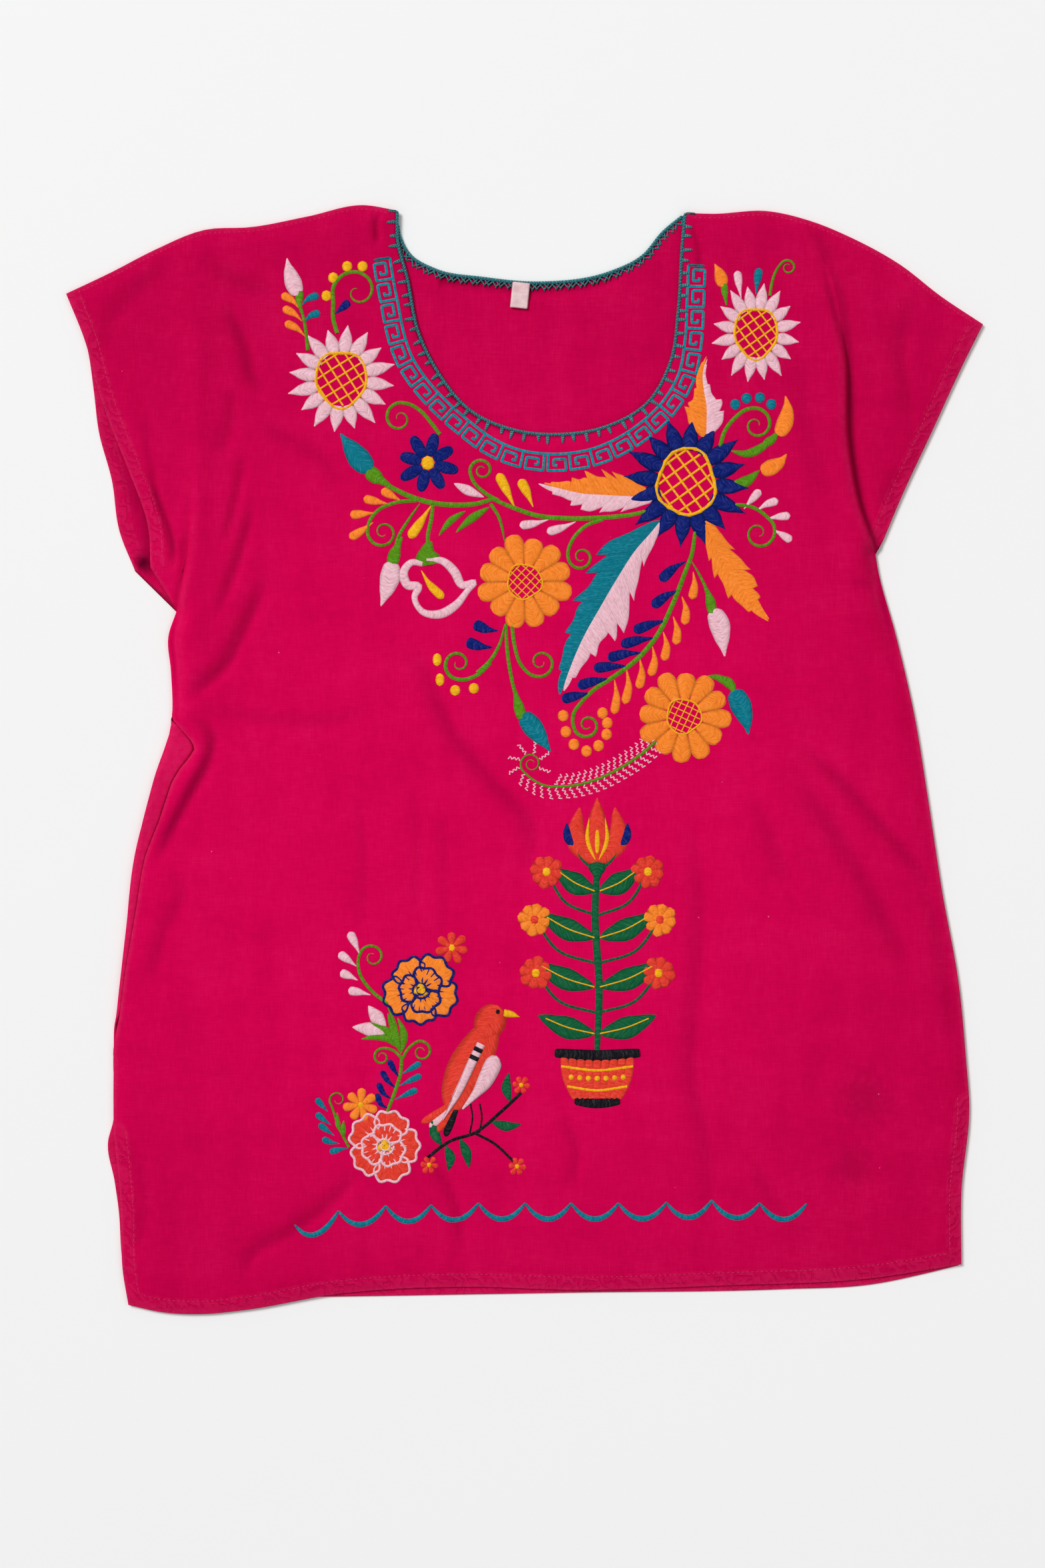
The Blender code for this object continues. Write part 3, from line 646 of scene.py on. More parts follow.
def linear(hex_colour: str) -> tuple[float, float, float, float]:
    """Linear red, green, blue and alpha of an sRGB colour such as "#c30748".

    Args:
        hex_colour: six digits after a hash
    Returns:
        four numbers from 0 to 1
    """
    parts = [int(hex_colour[i:i + 2], 16) / 255 for i in (1, 3, 5)]
    return (*(p / 12.92 if p <= 0.04045 else ((p + 0.055) / 1.055) ** 2.4 for p in parts), 1.0)


# Settings that many nodes share
TIMES, MOST = {"operation": "MULTIPLY"}, {"operation": "MAXIMUM"}
EASED = {"interpolation_type": "SMOOTHSTEP"}
COLOUR = {"data_type": "RGBA", "output": 2}
TURN = 2 * math.pi


class Graph:
    """The node tree of a material."""

    def __init__(self, name: str) -> None:
        """Starts a material with its shader and output.

        Args:
            name: of the material
        """
        self.material = bpy.data.materials.new(name)
        self.material.use_nodes = True
        self.tree = self.material.node_tree
        self.shader = self.tree.nodes["Principled BSDF"]

    def node(self, kind: str, *values: object, output: int | str = 0,
             **settings: object) -> bpy.types.NodeSocket:
        """Adds a node with its settings and links.

        Args:
            kind: the node's type without its ShaderNode prefix
            values: a value or socket for each input in order, or a dict of them by name or number
            output: which output is wanted
            settings: properties of the node
        Returns:
            that output
        """
        node = self.tree.nodes.new("ShaderNode" + kind)
        for name, value in settings.items():
            setattr(node, name, value)
        for number, value in enumerate(values):
            self.feed(node, value if isinstance(value, dict) else {number: value})
        return node.outputs[output]

    def feed(self, node: bpy.types.Node, inputs: dict) -> None:
        """Links sockets to a node's inputs and sets its values.

        Args:
            node: whose inputs
            inputs: socket or value for each name or number; None leaves an input as it is
        """
        for key, value in inputs.items():
            if isinstance(value, bpy.types.NodeSocket):
                self.tree.links.new(value, node.inputs[key])
            elif value is not None:
                node.inputs[key].default_value = value

    def layered(self, *parts: tuple[float, object]) -> object:
        """Adds up layers.

        Args:
            parts: weight and socket of each
        Returns:
            the sum's socket
        """
        found: object = 0.0
        for weight, part in parts:
            found = self.node("Math", part, weight, found, operation="MULTIPLY_ADD")
        return found

    def swayed(self, colour: object, share: object, light: object, dark: object) -> object:
        """Moves a colour towards a light one where a share is over 0, and a dark one under it.

        Args:
            colour, light, dark: sockets or colours
            share: socket of numbers around 0
        Returns:
            the colour's socket
        """
        for hand, target in ((1.0, light), (-1.0, dark)):
            part = self.node("Math", self.node("Math", share, hand, **TIMES), 0.0, **MOST)
            colour = self.node("Mix", {0: part, 6: colour, 7: target}, **COLOUR)
        return colour

    def finish(self, colour: object, height: object, roughness: float, **extra: object
               ) -> bpy.types.Material:
        """Feeds the shader.

        Args:
            colour: socket or colour
            height: socket of heights in millimetres
            roughness: of the surface
            extra: other inputs of the shader, with _ for a space
        Returns:
            the material
        """
        bump = self.node("Bump", {"Strength": 1.0, "Distance": MM, "Height": height})
        self.feed(self.shader, {"Base Color": colour, "Roughness": roughness, "Normal": bump})
        self.feed(self.shader, {name.replace("_", " "): value for name, value in extra.items()})
        return self.material


@dataclass(frozen=True)
class Cotton:
    """Plain-woven cotton, piece-dyed: a dull, slightly fuzzy cloth with slubs and a worn nap; shade and
    light are painted into its colour in the folds, along fine creases and away from the middle.
    """

    name: str
    base: str = "#d4024e"
    deep: str = "#c10246"     # painted shade: darker away from the brightly lit middle near the belly
    worn: str = "#d8376f"     # where the nap has rubbed pale along folds and hems
    # painted shade colour for the folds, the crests' feet and the gap under the left sleeve
    painted_shade: str = "#5e0124"   # deep in the folds
    stain: str = "#a8043e"
    weave_pitch: float = 1.1  # two threads; drawn a little coarser than the cloth's 0.9
    hem_fold: float = 8.6     # how far in a hem's turned edge lies
    hem_stitch: float = 7.4
    pucker_pitch: float = 8.5

    def hem_relief(self, graph: Graph, layer: str) -> tuple[object, object]:
        """Relief and wear of one kind of edge.

        Args:
            graph: the material's tree
            layer: UV layer with the place along and the distance from the edge, in millimetres
        Returns:
            height in millimetres, and wear from 0 to 1
        """
        node = graph.node
        uv = node("UVMap", uv_map=layer)
        along, inward = node("SeparateXYZ", uv).node.outputs[:2]
        inside = node("MapRange", inward, self.hem_fold - 0.6, self.hem_fold + 1.6, 1.0, 0.0, **EASED)
        off = node("Math", inward, self.hem_stitch, operation="SUBTRACT")
        groove = node("MapRange", node("Math", off, operation="ABSOLUTE"), 0.2, 1.3, 1.0, 0.0, **EASED)
        wobble, strong, rough = (node("TexNoise", uv, None, scale, detail)
                                 for scale, detail in ((0.11, 3.0), (0.045, 1.0), (0.5, 4.0)))
        place = graph.layered((TURN / self.pucker_pitch, along), (0.11 * TURN, inward),
                              (4.0 * TURN, wobble))
        wave = node("Math", place, operation="SINE")
        pucker = node("Math", node("MapRange", wave, 0.1, 1.0, 0.0, 1.0, **EASED),
                      node("MapRange", strong, 0.38, 0.58, -0.12, -0.8, **EASED), **TIMES)
        raised = graph.layered((0.3, inside), (1.0, node("Math", inside, pucker, **TIMES)),
                               (-0.2, groove))
        rim = node("Math", node("MapRange", inward, 0.2, 2.4, 0.8, 0.0, **EASED),
                   node("MapRange", rough, 0.3, 0.7, 0.2, 1.0, **EASED), **TIMES)
        nap = node("Math", inside, node("MapRange", wave, -1.0, 1.0, 0.24, 0.04, **EASED), **TIMES)
        return raised, node("Math", rim, nap, **MOST)

    def build(self) -> bpy.types.Material:
        """Makes the material.

        Returns:
            the material
        """
        graph = Graph(self.name)
        node = graph.node
        mm = node("VectorMath", node("TexCoord", output="Object"), (1000.0,) * 3, **TIMES)
        # The weave gives a fine even grain and the slubs short brighter threads both ways; long soft
        # streaks are painted shade and light of the fine creases where the cloth has lain creased
        across, up = (node("Math", node("Math", side, TURN / self.weave_pitch, **TIMES),
                           operation="SINE") for side in node("SeparateXYZ", mm).node.outputs[:2])
        weave = node("Math", across, up, **TIMES)
        weft, warp, painted_crease_streaks_up, painted_crease_streaks_across, soft, fine = (
            node("TexNoise", node("VectorMath", mm, stretch, **TIMES), None, 1.0, detail)
            for stretch, detail in (
                ((0.09, 1.5, 0.2), 2.0), ((1.5, 0.09, 0.2), 2.0), ((0.07, 0.014, 0.1), 3.0),
                ((0.012, 0.05, 0.1), 3.0), ((0.055,) * 3, 3.0), ((0.3,) * 3, 4.0)))

        # Worn rims and hems: each point's number gives its wear above 0 and its painted shade below 0
        crest = node("Attribute", output="Fac", attribute_name="crest")
        painted_shade = node("Math", node("Math", crest, -0.62, **TIMES), 0.0, **MOST)
        wear = node("Math", node("Math", crest, 0.0, **MOST),
                    node("MapRange", fine, 0.3, 0.7, 0.5, 1.0, **EASED), **TIMES)
        relief: object = 0.0
        for layer in ("hem", "side"):
            hem_height, hem_wear = self.hem_relief(graph, layer)
            wear = node("Math", wear, hem_wear, **MOST)
            relief = node("Math", relief, hem_height, **MOST)

        # Painted light: the cloth is lighter round a middle near the belly and darker further out, with
        # random tone from the soft noise
        gap = node("VectorMath", mm, PAINTED_LIGHT_MIDDLE, output="Value", operation="DISTANCE")
        painted_falloff_and_tone = graph.layered((1.0, node("MapRange", gap, 110.0, 400.0, 0.0, 1.0, **EASED)),
                                (0.5, soft), (1.0, -0.25))
        grain = graph.layered((0.06, weave), (0.26, weft), (0.26, warp), (0.18, fine),
                              (0.24, painted_crease_streaks_up), (0.24, painted_crease_streaks_across), (1.0, -0.59))
        colour = node("Mix", {0: painted_falloff_and_tone, 6: linear(self.base), 7: linear(self.deep)}, **COLOUR)
        colour = node("Mix", {0: node("Math", wear, 0.55, **TIMES), 6: colour,
                              7: linear(self.worn)}, **COLOUR)
        colour = graph.swayed(colour, grain, linear("#f2286e"), linear("#5a0020"))
        for share, tint in ((painted_shade, self.painted_shade), (self.stains(graph, mm, fine), self.stain),
                            (self.lint(graph, mm), "#e88fae")):
            colour = node("Mix", {0: share, 6: colour, 7: linear(tint)}, **COLOUR)
        height = graph.layered((0.03, weave), (0.05, weft), (0.05, warp), (0.22, soft), (0.1, fine),
                               (1.0, relief))
        # The dye tints what little light the fibres reflect, so the cloth stays saturated
        return graph.finish(colour, height, 0.9, IOR=1.53, Specular_IOR_Level=0.15,
                            Specular_Tint=linear("#e01a5c"), Sheen_Weight=0.12,
                            Sheen_Roughness=0.5, Sheen_Tint=linear("#e8104f"))

    @staticmethod
    def stains(graph: Graph, mm: object, fine: object) -> object:
        """Faint darker patches low on the right, where something soaked in.

        Args:
            graph: the material's tree
            mm: place in millimetres
            fine: noise that breaks up their outlines
        Returns:
            share of the stain's colour
        """
        found: object = 0.0
        for x, y, radius, strength in STAINS:
            middle = ((x - MIDDLE_X) * UNIT, (MIDDLE_Y - y) * UNIT, 5.0)
            gap = graph.node("VectorMath", mm, middle, output="Value", operation="DISTANCE")
            ragged = graph.layered((1.0, gap), (radius * 0.9, fine))
            found = graph.node("Math", found, graph.node(
                "MapRange", ragged, radius * 0.5, radius * 1.4, strength, 0.0, **EASED), **MOST)
        return found

    @staticmethod
    def lint(graph: Graph, mm: object) -> object:
        """Tiny pale specks of loose fibre, one in some of the cells.

        Args:
            graph: the material's tree
            mm: place in millimetres
        Returns:
            share of the specks' colour
        """
        cells = graph.node("TexVoronoi", {"Vector": mm, "Scale": 0.075}).node.outputs
        lot = graph.node("SeparateColor", cells["Color"]).node.outputs
        size = graph.node("MapRange", lot[1], 0.0, 1.0, 0.012, 0.03, **EASED)
        near = graph.node("Math", cells["Distance"], size, operation="LESS_THAN")
        return graph.node("Math", near, graph.node("MapRange", lot[0], 0.55, 1.0, 0.0, 0.5, **EASED),
                          **TIMES)


# Middle of the pool of light painted on the cloth, in millimetres
PAINTED_LIGHT_MIDDLE = (-45.0, -44.0, 5.0)
STAINS = ((1297, 1648, 25.0, 0.62), (1277, 1750, 21.0, 0.55), (1426, 1656, 1.6, 0.6),
          (1129, 1105, 4.0, 0.2))  # place in picture units, radius in millimetres, strength


class Thread(Enum):
    """The colours of the embroidery threads."""

    TEAL = "#067486"
    GOLD = "#f3ae16"
    ORANGE = "#fb842a"
    PINK = "#ecb8c4"
    BLUE = "#0a1c6c"
    GREEN = "#548c12"
    RED = "#e23c2c"
    DARK_GREEN = "#0c5a36"
    BLACK = "#16141a"
    ROSE = "#d4325f"
    SEA = "#088894"

    @property
    def slot(self) -> int:
        """Place of this thread's material on every embroidered piece."""
        return list(Thread).index(self)


@dataclass(frozen=True)
class Satin:
    """Rayon embroidery thread laid side by side: silky, with fine streaks along the stitches."""

    name: str
    colour: str
    roughness: float = 0.42

    def build(self) -> bpy.types.Material:
        """Makes the material.

        Returns:
            the material
        """
        graph = Graph(self.name)
        node = graph.node
        uv = node("UVMap", uv_map="thread")
        # Streaks run along each thread, drawn 0.5 mm wide, a little coarser than real; bundles of
        # threads and the ends of stitches are lighter and darker flecks over a millimetre wide
        streaks, bundles, flecks = (
            node("TexNoise", node("VectorMath", uv, stretch, **TIMES), None, 1.0, detail)
            for stretch, detail in (((0.16, 2.1, 1.0), 2.0), ((0.09, 0.8, 1.0), 1.0),
                                    ((0.42, 0.95, 1.0), 2.0)))
        shade = graph.layered((0.9, streaks), (0.9, bundles), (1.3, flecks), (1.0, -1.52))
        base = linear(self.colour)
        light = (*(min(1.0, c * 1.5 + 0.06) for c in base[:3]), 1.0)
        dark = (*(c * 0.32 for c in base[:3]), 1.0)
        colour = graph.swayed(base, shade, light, dark)
        # The stitches dip into the cloth at a shape's edge, and the shade there is painted in as a darker
        # colour
        rim = node("Attribute", output="Fac", attribute_name="rim")
        painted_edge_shade = node("MapRange", rim, 0.55, 1.0, 0.0, 0.72, **EASED)
        colour = node("Mix", {0: painted_edge_shade, 6: colour, 7: dark}, **COLOUR)
        height = graph.layered((0.3, streaks), (0.12, flecks))
        tangent = node("Tangent", direction_type="UV_MAP", uv_map="thread")
        return graph.finish(colour, height, self.roughness, Specular_IOR_Level=0.4,
                            Specular_Tint=light, Anisotropic=0.5, Sheen_Weight=0.1,
                            Sheen_Tint=light, Tangent=tangent)


@dataclass(frozen=True)
class Crochet:
    """Mercerised crochet cotton, hard-twisted, with painted highlights and painted shade on its turns."""

    name: str
    colour: str = "#0a6670"
    # painted highlight and painted shade of the strands' turns
    light: str = "#2fa9ac"
    dark: str = "#03262e"
    twist: float = 1.3        # millimetres from one turn to the next

    def build(self) -> bpy.types.Material:
        """Makes the material.

        Returns:
            the material
        """
        graph = Graph(self.name)
        node = graph.node
        uv = node("UVMap", uv_map="thread")
        around, along = node("SeparateXYZ", uv).node.outputs[:2]
        lay = graph.layered((TURN / self.twist, around), (TURN / self.twist, along))
        twist = node("MapRange", node("Math", lay, operation="SINE"), -1.0, 1.0, 0.0, 1.0, **EASED)
        cloud = node("TexNoise", uv, None, 0.6, 3.0)
        # Painted highlights on the turns, broken up by a cloud, and painted shade between them
        painted_twist_highlight = node("Math", twist, node("MapRange", cloud, 0.3, 0.7, 0.2, 0.75, **EASED), **TIMES)
        painted_twist_shade = node("MapRange", twist, 0.35, 0.0, 0.0, 0.8, **EASED)
        colour = node("Mix", {0: painted_twist_highlight, 6: linear(self.colour), 7: linear(self.light)}, **COLOUR)
        colour = node("Mix", {0: painted_twist_shade, 6: colour, 7: linear(self.dark)}, **COLOUR)
        height = graph.layered((0.12, twist), (0.1, cloud))
        return graph.finish(colour, height, 0.5, Specular_IOR_Level=0.5, Sheen_Weight=0.1)


@dataclass(frozen=True)
class Tape:
    """Woven label tape, bleached, with a tight smooth weave and pink bled in from the cloth."""

    name: str
    colour: str = "#e6c8c8"
    tinted: str = "#deb4bc"

    def build(self) -> bpy.types.Material:
        """Makes the material.

        Returns:
            the material
        """
        graph = Graph(self.name)
        node = graph.node
        mm = node("VectorMath", node("TexCoord", output="Object"), (1000.0,) * 3, **TIMES)
        rows = node("TexNoise", node("VectorMath", mm, (0.5, 3.0, 1.0), **TIMES), None, 1.0, 2.0)
        cloud = node("TexNoise", mm, None, 0.25, 3.0)
        bled = node("MapRange", cloud, 0.35, 0.7, 0.0, 1.0, **EASED)
        bright = node("MapRange", rows, 0.5, 0.8, 0.0, 0.3, **EASED)
        colour = node("Mix", {0: bled, 6: linear(self.colour), 7: linear(self.tinted)}, **COLOUR)
        colour = node("Mix", {0: bright, 6: colour, 7: linear("#ffffff")}, **COLOUR)
        return graph.finish(colour, graph.layered((0.15, rows)), 0.75)


@dataclass(frozen=True)
class PalePaper:
    """Matt background paper: nearly white, with hardly any grain."""

    name: str
    colour: str = "#f5f5f5"
    grain: str = "#e9e9ea"

    def build(self) -> bpy.types.Material:
        """Makes the material.

        Returns:
            the material
        """
        graph = Graph(self.name)
        fibres = graph.node("TexNoise", graph.node("TexCoord", output="Object"), None, 900.0, 2.0)
        share = graph.node("Math", fibres, 0.02, **TIMES)
        colour = graph.node("Mix", {0: share, 6: linear(self.colour), 7: linear(self.grain)}, **COLOUR)
        return graph.finish(colour, graph.layered((0.01, fibres)), 0.95)


def mesh_object(name: str, points: Array, faces: Array, materials: Sequence,
                slots: Array | None = None) -> bpy.types.Object:
    """Makes an object of a mesh in millimetres and links it to the scene.

    Args:
        name: the piece's name
        points: rows of x, y and z in millimetres
        faces: rows of corner numbers
        materials: its material slots
        slots: material slot of each face
    Returns:
        the object, smooth shaded
    """
    mesh = bpy.data.meshes.new(name)
    mesh.from_pydata((np.asarray(points) * MM).tolist(), [], np.asarray(faces).tolist())
    for material in materials:
        mesh.materials.append(material)
    if slots is not None:
        mesh.polygons.foreach_set("material_index", np.asarray(slots, np.int32))
    mesh.shade_smooth()
    piece = bpy.data.objects.new(name, mesh)
    bpy.context.scene.collection.objects.link(piece)
    LOG.info("%s: %d faces", name, len(faces))
    return piece


def add_layer(piece: bpy.types.Object, name: str, values: Array) -> None:
    """Adds a UV layer.

    Args:
        piece: where
        name: of the layer
        values: a pair for each vertex
    """
    corners = np.empty(len(piece.data.loops), np.int32)
    piece.data.loops.foreach_get("vertex_index", corners)
    layer = piece.data.uv_layers.new(name=name)
    layer.data.foreach_set("uv", np.asarray(values, np.float32)[corners].ravel())


def add_numbers(piece: bpy.types.Object, name: str, values: Array) -> None:
    """Adds an attribute with one number for each vertex."""
    attribute = piece.data.attributes.new(name, "FLOAT", "POINT")
    attribute.data.foreach_set("value", np.asarray(values, np.float32))


class Gather:
    """Collects grids of points and makes them one object."""

    def __init__(self) -> None:
        """Starts with nothing."""
        self.grids: list[tuple[Array, ...]] = []  # points, places, nearness to a rim, faces, slots
        self.count = 0

    def grid(self, points: Array, places: Array, slot: int = 0, wrap: bool = False,
             rims: Array | float = 0.0) -> None:
        """Adds one grid.

        Args:
            points: rows by columns of x, y and z
            places: the same grid of the two numbers that its material reads
            slot: material slot
            wrap: True joins the last column to the first
            rims: how near each point is to its shape's edge, up to 1
        """
        rows, columns = points.shape[:2]
        number = np.arange(rows * columns).reshape(rows, columns) + self.count
        if wrap:
            number = np.column_stack([number, number[:, :1]])
        quads = np.stack([number[:-1, :-1], number[:-1, 1:], number[1:, 1:], number[1:, :-1]],
                         axis=-1).reshape(-1, 4)
        self.grids.append((points.reshape(-1, 3), places.reshape(-1, 2),
                           np.broadcast_to(rims, (rows, columns)).ravel(), quads,
                           np.full(len(quads), slot)))
        self.count += rows * columns

    def make(self, name: str, materials: Sequence) -> bpy.types.Object:
        """Makes the object.

        Args:
            name: of the piece
            materials: its slots
        Returns:
            the object
        """
        points, places, rims, quads, slots = (np.concatenate(part) for part in zip(*self.grids))
        piece = mesh_object(name, points, quads, materials, slots)
        add_layer(piece, "thread", places)
        add_numbers(piece, "rim", rims)
        return piece


def tube(gather: Gather, line: Array, radius: Array | float, sides: int = 6,
         shift: float = 0.0) -> None:
    """Adds a round thread along a line in space, with closed tapered ends.

    Args:
        gather: where it goes
        line: rows of x, y and z
        radius: of the thread, at each row or all along
        sides: corners of its section
        shift: where its pattern starts
    """
    along = unit_rows(np.gradient(line, axis=0))
    side = unit_rows(np.cross(along, (0.0, 0.0, 1.0)))
    up = np.cross(side, along)
    turn = np.linspace(0, TURN, sides, endpoint=False)
    radii = np.broadcast_to(radius, len(line)).astype(float).copy()
    radii[[0, -1]] *= 0.15
    ring = (np.cos(turn)[None, :, None] * side[:, None] + np.sin(turn)[None, :, None] * up[:, None])
    points = line[:, None] + ring * radii[:, None, None]
    places = np.stack(np.broadcast_arrays(turn * np.mean(radii), run(line)[:, None] + shift), -1)
    gather.grid(points, places, wrap=True)


class Shape(Enum):
    """The embroidery's shapes: shares of the length, each with a share of the greatest width."""

    LEAF = (0, 0, 0.2, 0.62, 0.45, 1, 0.75, 0.6, 1, 0)
    DROP = (0, 0.1, 0.3, 0.45, 0.65, 0.95, 0.82, 1, 0.95, 0.62, 1, 0)
    BUD = (0, 0.35, 0.12, 0.85, 0.3, 1, 0.55, 0.78, 0.8, 0.3, 1, 0)
    OVAL = (0, 0, 0.06, 0.48, 0.2, 0.8, 0.5, 1, 0.8, 0.8, 0.94, 0.48, 1, 0)
    RAY = (0, 0.66, 0.28, 1, 0.5, 0.84, 0.75, 0.38, 0.9, 0.12, 1, 0)
    PAD = (0, 0.42, 0.35, 0.78, 0.7, 1, 0.88, 0.8, 0.97, 0.42, 1, 0)
    STEM = (0, 0.5, 0.03, 0.9, 0.1, 1, 0.9, 1, 0.97, 0.9, 1, 0.5)
    TAPER = (0, 1, 0.5, 0.85, 0.9, 0.45, 1, 0.2)
    CALYX = (0, 0.22, 0.35, 0.55, 0.7, 1, 0.9, 0.95, 1, 0.6)
    CRESCENT = (0, 0.3, 0.2, 0.75, 0.5, 1, 0.8, 0.8, 1, 0.35)
    BARB = (0, 1, 0.5, 0.8, 0.8, 0.36, 1, 0)

    def widths(self, shares: Array) -> Array:
        """Share of the greatest width at each share of the length."""
        rows = Path(self.value).rows
        return np.maximum(np.interp(shares, rows[:, 0], rows[:, 1]), 0.0)


@dataclass(frozen=True)
class Stitched:
    """One stitched shape: a line through stations in picture units, and its greatest width."""

    thread: Thread
    shape: Shape
    width: float
    stations: Stations
    slant: float = 0.5    # how far the stitches lean from straight across
    rise: float = 0.55    # height of its crown over the cloth, in millimetres


# A row of a table stands for shapes alike: thread, shape, width, one or more lines as flat rows of
# x and y, and then their slant and rise where these aren't the usual ones
Row = tuple


@dataclass(frozen=True)
class Scroll:
    """A stem that ends in a spiral, in picture units."""

    stem: Stations        # x and y by turns
    centre: tuple[float, float]
    turns: float          # negative turns the other way
    width: float = 6.5

    def stitched(self) -> Stitched:
        """The stem with the spiral on its end.

        Returns:
            one stitched shape
        """
        stem = np.reshape(self.stem, (-1, 2))
        arm = stem[-1] - self.centre
        share = np.linspace(0, 1, steps_for(abs(self.turns), 1 / 9, 6) + 1)[1:]
        turn = math.atan2(arm[1], arm[0]) + self.turns * TURN * share
        radius = SPIRAL_EYE + (np.hypot(*arm) - SPIRAL_EYE) * (1 - share) ** SPIRAL_EASE
        spiral = np.column_stack([np.cos(turn), np.sin(turn)]) * radius[:, None] + self.centre
        return Stitched(Thread.GREEN, Shape.TAPER, self.width, np.concatenate([stem, spiral]), 0.8)


SPIRAL_EYE, SPIRAL_EASE = 5.0, 1.25


def to_frame(stations: Stations) -> Array:
    """Places in picture units, as x and y in millimetres."""
    rows = np.reshape(np.array(stations, float), (-1, 2))
    return (rows - (MIDDLE_X, MIDDLE_Y)) * (UNIT, -UNIT)


class Needle:
    """Stitches shapes onto the front surface."""

    def __init__(self, surface: FrontSurface) -> None:
        """Starts with no stitches.

        Args:
            surface: the cloth to stitch on
        """
        self.surface = surface
        self.gather = Gather()
        self.order = 0

    def lay(self, flat: Array, crown: Array, rise: float, base: float, over: Array, along: Array,
            thread: Thread, rims: Array) -> None:
        """Lays a crowned grid of stitches on the cloth.

        Args:
            flat: grid of x and y
            crown: share of the rise at each point
            rise, base: height of its crown, and of its edges over the cloth
            over, along: place of each point along and across the stitches
            thread: colour
            rims: how near each point is to the shape's edge, up to 1
        """
        self.order += 1
        height = self.surface.top(flat) + base - SUNK + (rise + SUNK) * crown
        places = np.stack(np.broadcast_arrays(over + 37.0 * self.order, along), axis=-1)
        self.gather.grid(np.concatenate([flat, height[..., None]], axis=-1), places, thread.slot,
                         rims=rims)

    def ribbon(self, line: Array, half: Array, thread: Thread, slant: float = 0.5,
               rise: float = 0.55, base: float = 0.0, across: int | None = None) -> None:
        """Stitches a crowned band along a line.

        Args:
            line: rows of x and y in millimetres
            half: half its width at each row
            thread: colour
            slant: how far the stitches lean from straight across
            rise, base: height of its crown, and of its edges over the cloth
            across: number of columns
        """
        widest = float(half.max())
        share = np.linspace(-1, 1, (across or (6 if widest > 2.5 else 4)) + 1)
        side = offset_line(line, 1.0) - line
        over = half[:, None] * share
        crown = np.sqrt(np.maximum(1 - share**2, 0.0))[None] * np.minimum(
            1.0, half / (0.35 * widest + 0.15))[:, None]
        self.lay(line[:, None] + side[:, None] * over[..., None], crown, rise, base, over,
                 run(line)[:, None] + slant * np.abs(over), thread,
                 np.abs(share) * min(1.0, 0.35 + widest / 4))

    def fan(self, inner: Array, outer: Array, thread: Thread, rise: float = 0.5,
            base: float = 0.0) -> None:
        """Stitches the area between two lines, with the stitches running from one to the other.

        Args:
            inner, outer: rows of x and y in picture units, as many of one as of the other
            thread: colour
            rise, base: height of its crown, and of its edges over the cloth
        """
        inner, outer = to_frame(inner), to_frame(outer)
        share = np.linspace(0, 1, FAN_COLUMNS + 1)
        reach = np.linalg.norm(outer - inner, axis=1)
        inward = FAN_FOOT + (1 - FAN_FOOT) * share
        crown = np.minimum(1.0, 1.9 * np.sqrt(np.maximum(inward * (1 - inward), 0.0)))[None]
        crown = crown * np.minimum(1.0, reach / (0.3 * reach.max() + 0.15))[:, None]
        crown[[0, -1]] *= 0.3
        self.lay(inner[:, None] + (outer - inner)[:, None] * share[None, :, None], crown, rise, base,
                 reach[:, None] * share, run((inner + outer) / 2)[:, None], thread,
                 np.abs(2 * inward - 1) ** 2)

    def sew(self, *pieces: Stitched | Scroll | Row, base: float = 0.0) -> None:
        """Stitches shapes that are given in picture units.

        Args:
            pieces: the shapes, the lowest first
            base: height of their edges over the cloth
        """
        for piece in pieces:
            if isinstance(piece, Row):
                lines = [part for part in piece[3:] if isinstance(part, Row)]
                extra = piece[3 + len(lines):]
                self.sew(*(Stitched(*piece[:3], line, *extra) for line in lines), base=base)
                continue
            if isinstance(piece, Scroll):
                piece = piece.stitched()
            path = Path(to_frame(piece.stations))
            shares = np.linspace(0, 1, steps_for(path.length, STITCH_STEP, 5) + 1)
            shares = shares - 0.06 * np.sin(TURN * shares) / math.pi
            half = piece.shape.widths(shares) * piece.width * UNIT / 2
            self.ribbon(path.at(shares), half, piece.thread, piece.slant, piece.rise, base)

    def line(self, stations: Stations, width: float, thread: Thread, rise: float = 0.45,
             smooth: bool = True, base: float = 0.0) -> None:
        """Stitches a line of even width.

        Args:
            stations: in picture units
            width: in picture units
            thread: colour
            rise, base: height of its crown, and of its edges over the cloth
            smooth: False keeps its corners
        """
        path = Path(to_frame(stations), smooth)
        line = path.part(0, 1, steps_for(path.length, STITCH_STEP, 3))
        self.ribbon(line, np.full(len(line), width * UNIT / 2), thread, 0.7, rise, base, 4)

    def make(self, name: str, materials: Sequence) -> bpy.types.Object:
        """Makes everything stitched so far one piece on the front panel.

        Args:
            name: of the piece
            materials: one for each thread
        Returns:
            the object
        """
        piece = self.gather.make(name, materials)
        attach(piece, "root")
        self.gather = Gather()
        return piece


FAN_COLUMNS, FAN_FOOT = 8, 0.1   # the foot of a fan starts that far up its crown
SUNK = 0.18        # how far a shape's edges sink into the cloth
STITCH_STEP = 1.1


